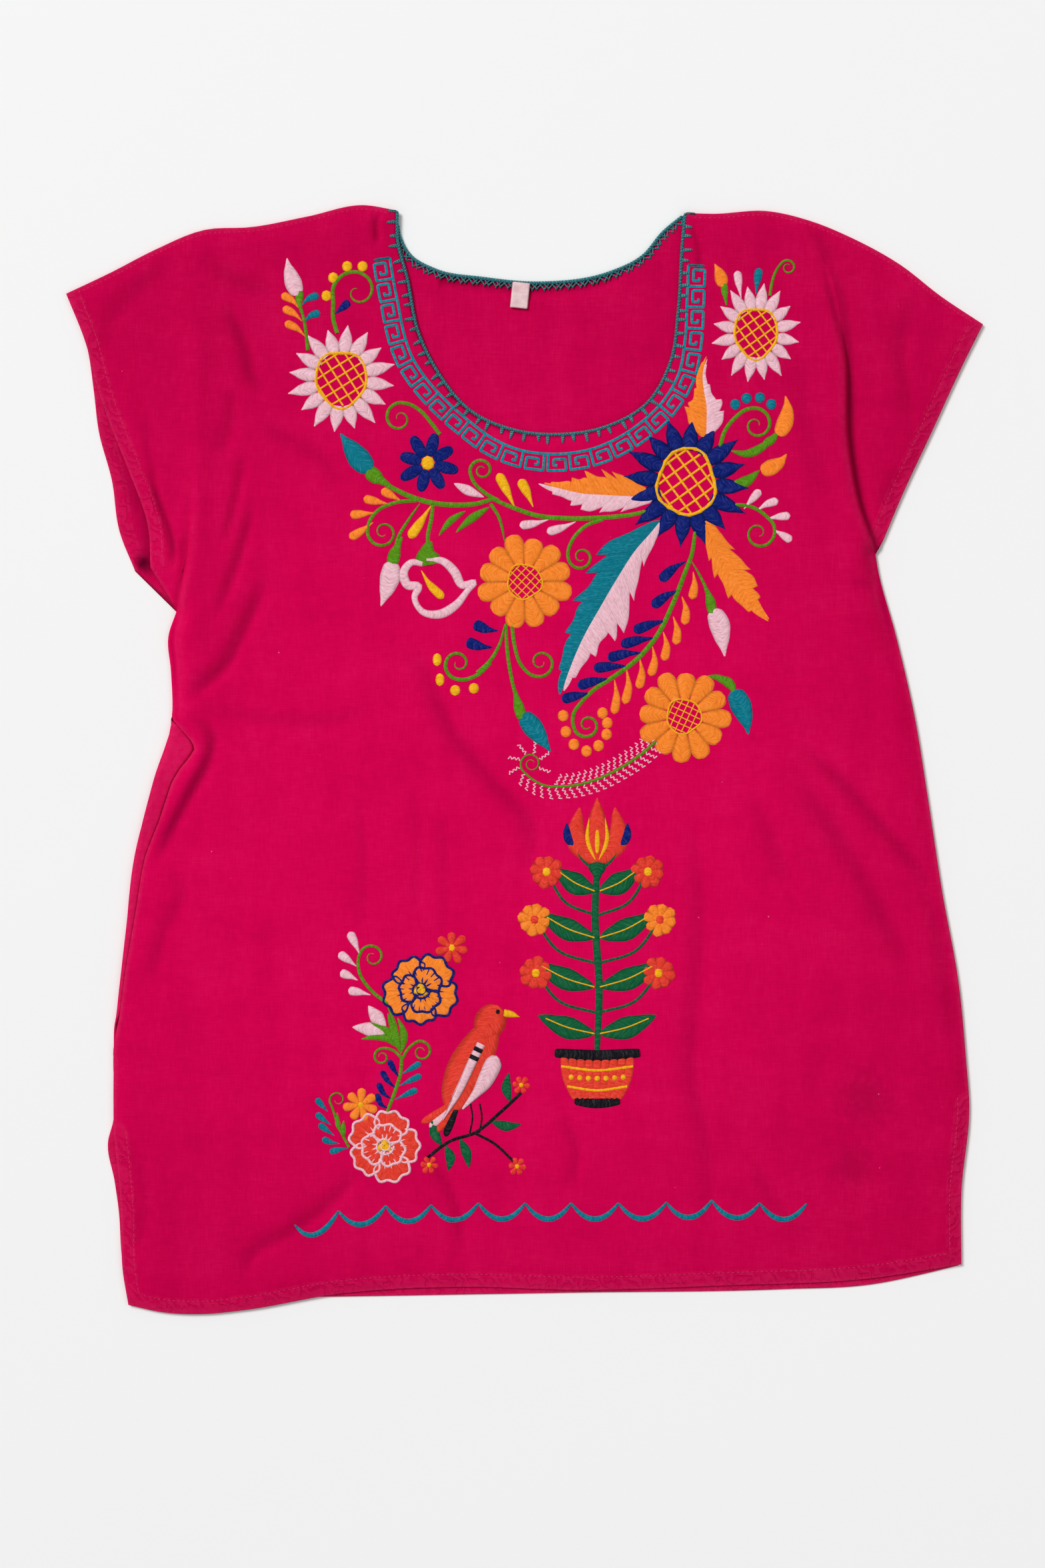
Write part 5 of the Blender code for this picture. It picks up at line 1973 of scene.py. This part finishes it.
SPRAYS: dict[str, tuple] = {
    "spray_top_left": (
        (T.GREEN, S.TAPER, 6.0, (462, 526, 458, 490, 451, 455, 450, 440)),
        (T.ORANGE, S.DROP, 14, (449, 463, 440, 452, 422, 442), (453, 482, 443, 472, 424, 462),
         (458, 505, 447, 494, 427, 484)),
        (T.TEAL, S.DROP, 13, (453, 458, 462, 449, 479, 443), (456, 484, 465, 475, 481, 469)),
        (T.PINK, S.BUD, 29, (447, 443, 440, 424, 434, 405, 430, 384)),
        (T.GREEN, S.CALYX, 13, (452, 470, 449, 452, 450, 437)),
        *dots(T.GOLD, 8.5, (521, 400), (544, 400), (500, 417), (490, 444)),
        Scroll((506, 500, 500, 478, 500, 455), (536, 438), 1.3, 7.0),
        (T.BLUE, S.DROP, 14, (502, 472, 513, 463, 525, 452)),
    ),
    "spray_middle_left": (
        (T.GREEN, S.STEM, 7.5, (556, 712, 590, 733, 618, 746, 650, 755, 685, 758, 715, 756, 739, 749)),
        (T.GREEN, S.STEM, 7.0, (739, 749, 770, 762, 807, 774, 850, 778, 902, 777, 950, 772, 976, 766)),
        (T.TEAL, S.BUD, 38, (556, 706, 543, 693, 525, 670, 508, 647), 1.2),
        (T.GREEN, S.CALYX, 25, (586, 729, 570, 720, 552, 706)),
        Scroll((660, 652, 648, 636, 630, 616, 612, 606), (600, 628), -1.35),
        (T.PINK, S.LEAF, 17, (680, 725, 700, 735, 728, 747)),
        (T.ORANGE, S.DROP, 15, (602, 752, 590, 745, 572, 735), (584, 757, 567, 753, 545, 748),
         (563, 770, 548, 771, 525, 773), (560, 784, 545, 795, 524, 808)),
        Scroll((625, 751, 591, 755, 565, 768, 553, 787), (575, 799), -1.45),
        (T.GOLD, S.DROP, 17, (647, 759, 632, 782, 614, 808)),
        (T.GREEN, S.TAPER, 6.5, (592, 832, 598, 806, 612, 782, 630, 756)),
        (T.GREEN, S.CALYX, 21, (603, 806, 594, 826, 588, 847)),
        (T.PINK, S.BUD, 34, (588, 843, 585, 868, 578, 892, 570, 914)),
        (T.GREEN, S.STEM, 6.0, (650, 758, 647, 780, 642, 806, 643, 822)),
        (T.GREEN, S.CALYX, 40, (645, 812, 641, 828, 644, 848), 0.9),
        (T.GREEN, S.LEAF, 12, (700, 766, 676, 782, 657, 806), 1.0),
        (T.GREEN, S.LEAF, 14, (736, 760, 708, 778, 682, 801), 1.0),
        Scroll((749, 752, 728, 740, 710, 722, 706, 702), (723, 706), 1.35),
        (T.GOLD, S.DROP, 17, (773, 763, 761, 738, 747, 710), (800, 761, 792, 742, 780, 719)),
        (T.PINK, S.DROP, 15, (823, 780, 805, 785, 779, 789), (864, 783, 846, 791, 820, 799)),
        (T.GREEN, S.TAPER, 6.0, (736, 756, 748, 775, 754, 795, 757, 812)),
        Scroll((905, 779, 878, 790, 858, 812, 852, 832), (872, 836), -1.4),
        (T.GOLD, S.DROP, 15, (632, 856, 644, 876, 666, 898), 0.6),
    ),
    "spray_right": (
        (T.GREEN, S.CALYX, 12, (1090, 458, 1088, 444, 1086, 426)),
        (T.ORANGE, S.BUD, 22, (1085, 430, 1080, 412, 1071, 394)),
        (T.PINK, S.DROP, 14, (1112, 448, 1109, 430, 1106, 406)),
        (T.TEAL, S.DROP, 14, (1134, 442, 1136, 424, 1139, 402)),
        Scroll((1155, 444, 1158, 425, 1166, 404, 1180, 391), (1182, 402), 1.1, 5.0),
        *dots(T.TEAL, 8.5, (1103, 607), (1120, 598), (1140, 597), (1157, 607)),
        Scroll((1080, 672, 1087, 648, 1102, 628, 1122, 614), (1134, 638), 1.35, 7.0),
        (T.GREEN, S.LEAF, 15, (1094, 676, 1120, 681, 1145, 670, 1168, 645), 1.0),
        (T.GREEN, S.BUD, 15, (1146, 668, 1160, 658, 1170, 646)),
        (T.ORANGE, S.BUD, 28, (1168, 654, 1178, 633, 1181, 610, 1177, 590)),
        (T.GREEN, S.LEAF, 19, (1092, 727, 1116, 724, 1141, 705), 1.0),
        (T.ORANGE, S.BUD, 27, (1142, 708, 1156, 702, 1170, 694, 1182, 679)),
        (T.PINK, S.DROP, 14, (1116, 764, 1128, 750, 1141, 735), (1135, 767, 1150, 757, 1168, 751),
         (1150, 779, 1166, 776, 1186, 774), (1160, 795, 1174, 803, 1188, 812)),
        Scroll((1084, 762, 1105, 758, 1128, 761, 1150, 775), (1138, 800), 1.4),
    ),
    "garland": (
        (T.GREEN, S.STEM, 7.0, (1043, 798, 1037, 835, 1029, 856, 1010, 905, 985, 955, 955, 990, 920, 1016,
         890, 1036, 870, 1056)),
        Scroll((872, 1054, 861, 1070, 860, 1088), (881, 1088), -1.4),
        (T.BLUE, S.DROP, 18, (1030, 842, 1012, 852, 990, 872), (1021, 885, 1000, 894, 978, 911),
         (1002, 931, 980, 936, 950, 947), (985, 957, 962, 960, 931, 968), (965, 980, 940, 981, 911, 988),
         (944, 1000, 920, 1000, 890, 1003), (918, 1019, 893, 1022, 866, 1030),
         (888, 1040, 866, 1044, 842, 1050)),
        (T.ORANGE, S.DROP, 15, (1040, 858, 1042, 876, 1038, 900), (1023, 895, 1029, 914, 1027, 938),
         (1010, 925, 1016, 946, 1014, 968), (995, 948, 1000, 968, 996, 992),
         (979, 970, 982, 990, 976, 1015), (960, 988, 963, 1010, 958, 1034),
         (940, 1003, 943, 1030, 937, 1057), (922, 1020, 925, 1045, 921, 1072)),
        *dots(T.ORANGE, 9.0, (845, 1074), (849, 1098), (861, 1117), (880, 1127), (898, 1119), (910, 1102),
         (911, 1085), (904, 1070)),
        (T.GREEN, S.TAPER, 5.5, (1066, 900, 1058, 880, 1048, 860, 1038, 843)),
        (T.GREEN, S.CALYX, 17, (1056, 876, 1064, 896, 1069, 920)),
        (T.PINK, S.BUD, 35, (1070, 915, 1079, 936, 1084, 962, 1088, 990)),
        (T.GREEN, S.LEAF, 13, (1060, 1014, 1080, 1018, 1096, 1030, 1102, 1046), 1.0),
        (T.GREEN, S.BUD, 17, (1084, 1018, 1098, 1030, 1102, 1046)),
        (T.TEAL, S.BUD, 36, (1101, 1036, 1112, 1060, 1120, 1084, 1123, 1107)),
    ),
    "spray_middle": (
        (T.GREEN, S.TAPER, 7.0, (716, 1010, 735, 992, 750, 966, 758, 936)),
        Scroll((736, 994, 716, 1013, 692, 1020), (688, 996), 1.35, 7.0),
        (T.BLUE, S.DROP, 19, (748, 947, 733, 945, 710, 936), (740, 972, 722, 970, 699, 963)),
        (T.GOLD, S.OVAL, 15, (656, 1000, 656, 980)),
        (T.GOLD, S.OVAL, 15, (660, 1030, 660, 1010)),
        *dots(T.GOLD, 8.5, (683, 1036), (711, 1033)),
        (T.GREEN, S.STEM, 5.5, (759, 936, 761, 975, 768, 1020, 778, 1060)),
        (T.GREEN, S.CALYX, 18, (771, 1030, 777, 1055, 783, 1078)),
        (T.TEAL, S.BUD, 34, (784, 1072, 800, 1092, 815, 1112, 829, 1132)),
        Scroll((768, 936, 772, 968, 782, 998, 800, 1014), (811, 994), -1.35),
    ),
    "spray_lower_left": (
        (T.PINK, S.DROP, 15, (540, 1432, 533, 1416, 524, 1398), (535, 1450, 522, 1440, 508, 1430),
         (537, 1471, 526, 1465, 510, 1459), (556, 1493, 541, 1489, 522, 1486)),
        Scroll((582, 1506, 557, 1486, 539, 1458, 539, 1434), (559, 1436), 1.3, 6.0),
        (T.GREEN, S.LEAF, 7.0, (580, 1506, 590, 1530, 598, 1560, 602, 1586)),
        (T.PINK, S.LEAF, 24, (580, 1540, 567, 1528, 552, 1508), (580, 1552, 558, 1545, 527, 1541)),
        (T.GREEN, S.LEAF, 13, (596, 1572, 580, 1558, 540, 1559), (598, 1568, 584, 1550, 553, 1533),
         (600, 1580, 592, 1552, 581, 1518), (602, 1582, 606, 1552, 596, 1525)),
        Scroll((603, 1588, 590, 1576, 570, 1574), (573, 1586), -1.2, 5.0),
        Scroll((603, 1590, 614, 1572, 632, 1562), (632, 1578), 1.2, 5.0),
        (T.GREEN, S.STEM, 5.5, (603, 1584, 601, 1610, 592, 1640, 581, 1668)),
        (T.BLUE, S.DROP, 11, (600, 1618, 592, 1606, 583, 1590), (596, 1634, 584, 1624, 572, 1606),
         (590, 1650, 577, 1642, 567, 1624), (585, 1664, 573, 1658, 565, 1640)),
        (T.TEAL, S.DROP, 11, (602, 1612, 616, 1604, 632, 1594), (598, 1630, 614, 1622, 633, 1613),
         (592, 1650, 608, 1643, 627, 1634)),
        *petals(T.RED, (678, 1422), 4, 25, 7, 14, S.PAD, 0.03),
        *dots(T.GOLD, 7.0, (678, 1422)),
        *petals(T.ORANGE, (541, 1658), 4, 26, 7, 15, S.PAD, 0.05),
        *dots(T.GOLD, 6.0, (541, 1658)),
        Scroll((524, 1722, 508, 1690, 498, 1660), (507, 1650), 1.1, 4.5),
        (T.GREEN, S.LEAF, 9, (512, 1700, 507, 1686, 506, 1668), (516, 1708, 515, 1694, 516, 1680)),
        (T.TEAL, S.DROP, 11, (492, 1668, 483, 1658, 474, 1648), (497, 1688, 486, 1680, 474, 1670),
         (502, 1704, 491, 1696, 478, 1686), (510, 1716, 497, 1714, 483, 1708),
         (522, 1723, 508, 1725, 494, 1729)),
    ),
    "flower_blue": (
        *petals(T.BLUE, (642, 695), 9, 46, 8, 21, S.OVAL, 0.04),
        *dots(T.GOLD, 11.0, (642, 695)),
    ),
}

FEATHERS = (
    Plume((986, 747, 947, 745, 908, 743, 876, 741, 835, 732, 798, 722), (
        Vane(T.ORANGE, -1, (0, 18, 0.15, 36, 0.35, 42, 0.6, 26, 0.8, 10, 1, 0), 6),
        Vane(T.PINK, 1, (0, 12, 0.12, 25, 0.35, 29, 0.6, 23, 0.8, 12, 1, 0), 6))),
    Plume((992, 780, 976, 800, 954, 825, 926, 868, 899, 914, 876, 955, 849, 1020, 838, 1055), (
        Vane(T.TEAL, -1, (0, 12, 0.08, 36, 0.2, 46, 0.4, 46, 0.6, 33, 0.75, 23, 0.9, 12, 1, 0), 6),
        Vane(T.PINK, 1, (0, 10, 0.1, 24, 0.3, 42, 0.45, 53, 0.6, 40, 0.75, 25, 0.9, 9, 1, 0), 7))),
    Plume((1056, 780, 1068, 808, 1081, 836, 1096, 862, 1113, 886, 1135, 912, 1160, 938), (
        Vane(T.ORANGE, 1, (0, 16, 0.15, 25, 0.4, 32, 0.6, 26, 0.8, 12, 1, 0), 5),
        Vane(T.ORANGE, -1, (0, 6, 0.2, 18, 0.45, 26, 0.65, 22, 0.85, 9, 1, 0), 5))),
    Plume((1059, 660, 1060, 632, 1060, 610, 1056, 586, 1054, 564, 1058, 544, 1069, 520), (
        Vane(T.ORANGE, 1, (0, 10, 0.1, 34, 0.26, 36, 0.42, 20, 0.6, 12, 1, 0), 4, 0.26),
        Vane(T.PINK, -1, (0, 6, 0.12, 27, 0.3, 27, 0.45, 16, 0.6, 9, 1, 0), 5, 0.3)), 0.5),
)

# The lily's outlined bell, as the middle of its line
LILY = (634, 846, 618, 844, 606, 858, 612, 878, 628, 880, 622, 896, 634, 918, 658, 922, 684, 908,
        702, 886, 712, 874, 694, 878, 682, 858, 664, 842, 640, 840)

KEY_LINE = (585, 387, 590, 419, 598, 460, 606, 500, 618, 535, 640, 569, 672, 604, 704, 632, 741, 659,
            782, 676, 815, 681, 847, 681, 888, 674, 926, 658, 962, 634, 994, 603, 1018, 562, 1028, 509,
            1031, 451, 1033, 398)
# One turn of the key: places along the line and away from it
KEY_TURN = ((25, 0), (25, 25), (0, 25), (0, 8), (17, 8), (17, 17), (12, 17))
KEY_PITCH, KEY_WIDTH = 31.4, 4.7

WAVE_TOPS = ((442, 1838), (508, 1817), (579, 1809), (647, 1808), (718, 1805), (788, 1805),
             (857, 1805), (928, 1805), (1000, 1804), (1068, 1801), (1140, 1805), (1210, 1806))
WAVE_DEPTH = 24

FERN = (984, 1113, 962, 1132, 930, 1153, 892, 1171, 850, 1180, 815, 1178, 790, 1162)


@dataclass
class Embroidery:
    """All the satin stitching of the front, one piece for each motif."""

    needle: Needle
    materials: list[bpy.types.Material]

    def build(self) -> list[bpy.types.Object]:
        """Stitches every motif in turn.

        Returns:
            the pieces
        """
        needle = self.needle
        motifs = {
            "greek_key": self.key, "feathers": self.feathers,
            **{name: partial(needle.sew, *rows) for name, rows in SPRAYS.items()},
            "lily": self.lily, **{bloom.name: partial(bloom.build, needle) for bloom in BLOOMS},
            **{name: partial(rose.build, needle) for name, rose in ROSES},
            "fern": self.fern, "flowerpot": self.flowerpot, "songbird": self.songbird,
            "waves": self.waves}
        made = []
        for name, stitch in motifs.items():
            stitch()
            made.append(needle.make(name, self.materials))
        return made

    def key(self) -> None:
        """Stitches the line round the neck and the square turns outside it."""
        path = Path(KEY_LINE)
        self.needle.line(KEY_LINE, KEY_WIDTH, T.SEA)
        along, away = np.array(KEY_TURN).T
        for hand in (-1.0, 1.0):
            for i in range(14):
                start = path.length / 2 + hand * (28 + KEY_PITCH * (13 - i))
                place = (start - hand * along) / path.length
                ahead = path.ahead(place, 0.004)
                # The line runs down the left of the neck and up its right in the picture
                outward = np.stack([-ahead[:, 1], ahead[:, 0]], axis=1)
                self.needle.line(path.at(place) + outward * away[:, None], KEY_WIDTH, T.SEA, smooth=False)

    def feathers(self) -> None:
        """Stitches the plumes round the blue sunflower."""
        for plume in FEATHERS:
            plume.build(self.needle)

    def lily(self) -> None:
        """Stitches the lily's outlined bell."""
        path = Path(to_frame(LILY))
        line = path.part(0, 1, steps_for(path.length, STITCH_STEP))
        share = np.linspace(0, 1, len(line))
        half = (4.9 + 2.8 * np.sin(3 * math.pi * share) ** 2) * UNIT
        self.needle.ribbon(line, half, T.PINK, 0.3, 0.6)

    def fern(self) -> None:
        """Stitches the curled fern with its crinkled hairs."""
        stem = Scroll(FERN, (797, 1146), 1.6, 5.0).stitched()
        self.needle.sew(stem)
        path = Path(stem.stations)
        count = steps_for(path.length * 0.88, 10.5)
        for i in range(count + 1):
            share = 0.01 + 0.87 * i / count
            foot = path.at(share)
            along = unit_rows(path.at(share + 0.01) - foot)
            for hand in ((1.0,) if share > 0.55 else (-1.0, 1.0)):
                side = hand * np.array((along[1], -along[0])) * 0.85 + along * -0.45
                sway = np.array((-side[1], side[0])) * 2.6
                rows = [foot + side * (3 + 3.1 * k) + (sway if k % 2 else -sway) for k in range(7)]
                self.needle.line(rows, 2.3, T.PINK, 0.35, smooth=False)

    def waves(self) -> None:
        """Stitches the scalloped line above the hem, thick in the troughs."""
        share = np.array((0.0, 0.06, 0.2, 0.4, 0.6, 0.8, 0.93, 1.0))
        across = share + 0.03 * np.sin(TURN * share)
        dip = WAVE_DEPTH * (1 - np.abs(2 * share - 1) ** 2.5)
        for (x0, y0), (x1, y1) in zip(WAVE_TOPS, WAVE_TOPS[1:]):
            rows = np.column_stack([x0 + (x1 - x0) * across, y0 + (y1 - y0) * share + dip])
            self.needle.sew(Stitched(T.TEAL, S.CRESCENT, 9.5, rows, 0.4, 0.5))

    def flowerpot(self) -> None:
        """Stitches a footed pot with an upright spray of flowers."""
        sew, line = self.needle.sew, self.needle.line
        x = 896
        # Pot: a black foot and rim, a red body of upright rows, and gold bands
        sew((T.BLACK, S.STEM, 14, (x - 34, 1652, x, 1656, x + 34, 1652), 0.2))
        for k in range(-4, 5):
            top, low = x + k * 12.5, x + k * 8.0
            sew((T.RED, S.STEM, 13.5, (top, 1584, (top + low) / 2 + k, 1618, low, 1648), 0.1, 0.5))
        for half, y in ((54, 1600), (45, 1630)):
            line((x - half, y, x, y + 6, x + half, y), 5, T.GOLD, base=0.3)
        sew(*dots(T.GOLD, 4.5, *((x + k * 13, 1618 - 0.2 * k * k) for k in range(-3, 4))), base=0.4)
        sew((T.BLACK, S.STEM, 15, (x - 64, 1580, x, 1584, x + 64, 1580), 0.2, 0.7), base=0.2)
        # Stem and leaves, in pairs
        sew((T.DARK_GREEN, S.STEM, 11, (x, 1576, x + 3, 1480, x - 3, 1380, x, 1290)))
        for y, reach, up in ((1552, 92, 30), (1482, 98, 40), (1408, 90, 40), (1338, 66, 36)):
            for hand in (-1, 1):
                out = hand * reach
                sew((T.DARK_GREEN, S.LEAF, 38, (x, y, x + out * 0.5, y - up * 0.35, x + out, y - up), 1.1))
                line((x + hand * 4, y - 1, x + out * 0.5, y - up * 0.37, x + out * 0.84, y - up * 0.8),
                     2.4, T.GOLD, 0.3, base=0.55)
        # Side stems with flowers
        for y, reach, up, thread, heart in ((1520, 92, 60, T.RED, T.GOLD), (1446, 94, 66, T.ORANGE, T.RED),
                                            (1374, 76, 66, T.RED, T.GOLD)):
            for out in (-reach, reach):
                end = (x + out, y - up)
                line((x, y, x + out * 0.62, y - up * 0.3, *end), 5, T.DARK_GREEN)
                sew(*petals(thread, end, 5, 25, 8, 17, S.PAD, 0.03), base=0.2)
                sew(*dots(heart, 7.5, end), base=0.5)
        # Crown: a large tulip between two buds
        for hand in (-1, 1):
            line((x, 1310, x + hand * 22, 1290, x + hand * 38, 1264), 5, T.DARK_GREEN)
            sew((T.BLUE, S.BUD, 20, (x + hand * 36, 1268, x + hand * 44, 1250, x + hand * 46, 1232)),
                (T.RED, S.LEAF, 36, (x, 1300, x + hand * 30, 1262, x + hand * 26, 1208), 0.8))
            sew((T.GOLD, S.LEAF, 8, (x, 1296, x + hand * 14, 1262, x + hand * 12, 1226), 0.8), base=0.3)
        sew((T.RED, S.LEAF, 38, (x, 1302, x, 1255, x, 1196), 0.8), base=0.15)
        sew((T.GOLD, S.OVAL, 10, (x, 1282, x, 1244)), base=0.45)
        sew((T.DARK_GREEN, S.CALYX, 26, (x, 1322, x, 1308, x, 1294)), base=0.3)

    def songbird(self) -> None:
        """Stitches a small bird that sits on a flowering twig."""
        sew, line = self.needle.sew, self.needle.line
        # Twig, leaves and berries
        line((640, 1738, 676, 1712, 712, 1700, 752, 1668, 782, 1640), 6, T.BLACK)
        line((712, 1700, 742, 1716, 770, 1742), 5, T.BLACK)
        sew((T.DARK_GREEN, S.LEAF, 17, (664, 1720, 652, 1700, 648, 1676), (690, 1708, 700, 1730, 704, 1754),
             (736, 1682, 762, 1690, 784, 1686), (766, 1654, 760, 1632, 764, 1608),
             (668, 1718, 676, 1738, 672, 1758)))
        for centre in ((782, 1628), (776, 1750), (644, 1748)):
            sew(*petals(T.RED, centre, 3, 14, 6, 9.5, S.PAD, 0.02))
            sew(*dots(T.GOLD, 4.0, centre), base=0.2)
        # Tail, body, wing and head
        for k, thread in enumerate((T.BLACK, T.RED, T.PINK, T.RED)):
            sew((thread, S.PAD, 15,
                 (694, 1640, 680 - 5 * k, 1672 - 2 * k, 668 - 12 * k, 1706 - 7 * k), 0.6))
        sew((T.RED, S.OVAL, 66, (676, 1668, 694, 1618, 722, 1566, 740, 1534), 0.9, 0.7))
        sew((T.PINK, S.DROP, 28, (694, 1664, 722, 1630, 745, 1584), 0.9), base=0.5)
        sew((T.RED, S.OVAL, 48, (722, 1556, 736, 1532, 746, 1508), 0.6, 0.75), base=0.2)
        for k in range(5):
            sew((T.BLACK if k % 2 else T.PINK, S.BARB, 14,
                 (722 - 3 * k, 1566 + 6 * k, 702 - 4 * k, 1606 + 9 * k, 676 - 3 * k, 1650 + 8 * k), 0.6),
                base=0.75 + 0.1 * k)
        sew((T.GOLD, S.BARB, 12, (756, 1520, 768, 1522, 780, 1526)), base=0.3)
        sew(*dots(T.BLACK, 4.2, (747, 1518)), base=0.7)
        for x in (706, 720):
            line((x, 1656, x + 3, 1676, x - 1, 1700), 3, T.BLACK)


STITCH_ROWS = (
    StitchRow(HEM_FRONT, 8.0, 0.015, 0.985), StitchRow(FRONT_VENT_LEFT, -7.6, 0.05, 0.70),
    StitchRow(RIGHT_SIDE, 7.2, 0.02, 0.235), StitchRow(FRONT_SLEEVE_LEFT, -7.4, 0.03, 0.97),
    StitchRow(SLEEVE_RIGHT, 7.4, 0.06, 0.97), StitchRow(SHOULDER_LEFT, -2.6, 0.03, 0.97),
    StitchRow(SHOULDER_RIGHT, -2.6, 0.03, 0.97),
)


@dataclass
class Studio:
    """The floor, the light and the camera, straight above the blouse as in the picture."""

    lens: float = 85.0
    film: float = 36.0
    floor_size: float = 6.0
    key: float = 868.0
    fill: float = 8.5
    sky: float = 0.36

    def build(self, paper: bpy.types.Material) -> None:
        """Sets up the studio.

        Args:
            paper: the floor's material
        """
        reach = self.floor_size / 2
        corners = [(-reach, -reach, 0), (reach, -reach, 0), (reach, reach, 0), (-reach, reach, 0)]
        floor = mesh_object("floor", np.array(corners) / MM, [[0, 1, 2, 3]], [paper])
        self.camera()
        # A large soft box up on the left gives the folds their soft shade; another fills in
        self.light("key_light", (-5.4, 4.8, 8.0), 4.0, self.key)
        self.light("fill_light", (1.4, -0.6, 2.2), 2.0, self.fill)
        world = bpy.data.worlds.new("sky")
        world.use_nodes = True
        background = world.node_tree.nodes["Background"]
        background.inputs["Color"].default_value = linear("#ffffff")
        background.inputs["Strength"].default_value = self.sky
        bpy.context.scene.world = world
        # Plain colours, so that white paper and a saturated dye come out as they are
        bpy.context.scene.view_settings.view_transform = "Standard"

    def camera(self) -> None:
        """Puts the camera where it sees the same stretch of floor as the picture."""
        data = bpy.data.cameras.new("camera")
        data.lens, data.sensor_height, data.sensor_fit = self.lens, self.film, "VERTICAL"
        seen = PICTURE_HEIGHT * UNIT * MM
        x = (PICTURE_WIDTH / 2 - MIDDLE_X) * UNIT * MM
        y = (MIDDLE_Y - PICTURE_HEIGHT / 2) * UNIT * MM
        camera = bpy.data.objects.new("camera", data)
        camera.location = (x, y, seen * self.lens / self.film + 0.004)
        bpy.context.scene.collection.objects.link(camera)
        bpy.context.scene.camera = camera

    @staticmethod
    def light(name: str, place: tuple[float, float, float], size: float, power: float) -> None:
        """Adds a soft box that faces the middle of the blouse.

        Args:
            name: of the light
            place: in metres
            size: of its side, in metres
            power: in watts
        """
        data = bpy.data.lights.new(name, "AREA")
        data.shape, data.size, data.energy = "SQUARE", size, power
        lamp = bpy.data.objects.new(name, data)
        lamp.location = place
        lamp.rotation_euler = (-Vector(place)).to_track_quat("-Z", "Y").to_euler()
        bpy.context.scene.collection.objects.link(lamp)


def main() -> None:
    """Builds the pieces in order; each is reported as its mesh is made."""
    logging.basicConfig(level=logging.INFO, format="%(name)s: %(message)s")
    Studio().build(PalePaper("matt_background_paper").build())
    cotton = Cotton("plain_woven_cotton").build()
    threads = [Satin(f"satin_stitched_rayon_{thread.name.lower()}", thread.value).build()
               for thread in Thread]
    crochet = Crochet("mercerised_crochet_cotton").build()
    tape = Tape("woven_label_tape").build()

    front_cut, back_cut = Cut.front(), Cut.back()
    surface = FrontSurface(front_cut)
    vents = (Path([row for row in FRONT_VENT_LEFT if row[1] < VENT_TOP_LEFT]),
             Path([row for row in RIGHT_SIDE if row[1] < VENT_TOP_RIGHT]))
    back = BackPanel("back_panel_cloth", "back_panel", back_cut,
                     (Path(HEM_BACK), Path(BACK_SLEEVE_LEFT), Path(SLEEVE_RIGHT)), vents,
                     (0.551, 0.657), 0.308, ("floor",))
    back_piece = back.build(cotton)
    front = FrontPanel("front_panel_cloth", "front_panel", front_cut,
                       (Path(HEM_FRONT), Path(FRONT_SLEEVE_LEFT), Path(SLEEVE_RIGHT)), vents,
                       (0.551, 0.666), 0.291, (back.name,), surface=surface)
    front_piece = front.build(cotton)

    def cloth_top(points: Array) -> Array:
        """Height of the front's top side at each point."""
        return surface.middle(points) + WALL / 2

    def back_top(points: Array) -> Array:
        """Height of the back's top side at each point."""
        return np.full(len(points), WALL)

    line = Path(NECK_BACK)
    first, last = (line.share_near(*place) for place in BACK_CORD_ENDS)
    back_edging = NeckEdging("neck_edging_back_crochet", "neck_edging_back", NECK_BACK, first, last,
                             CORD_RADIUS + CORD_FLOOR_GAP, back_top, True).build(crochet)
    front_edging = NeckEdging("neck_edging_front_crochet", "neck_edging_front", NECK_FRONT, 0.0, 1.0,
                              FRONT_LOWEST + NECK_LIFT, cloth_top, False).build(crochet)
    label = SizeLabel()
    label_piece = label.build(tape)
    stitches = HemStitches("hem_stitches", STITCH_ROWS, cloth_top).build(threads[T.ROSE.slot])
    motifs = Embroidery(Needle(surface), threads).build()

    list(back.rests_on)
    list(front.rests_on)


VENT_TOP_LEFT, VENT_TOP_RIGHT = -225.0, -200.0

if __name__ == "__main__":
    main()
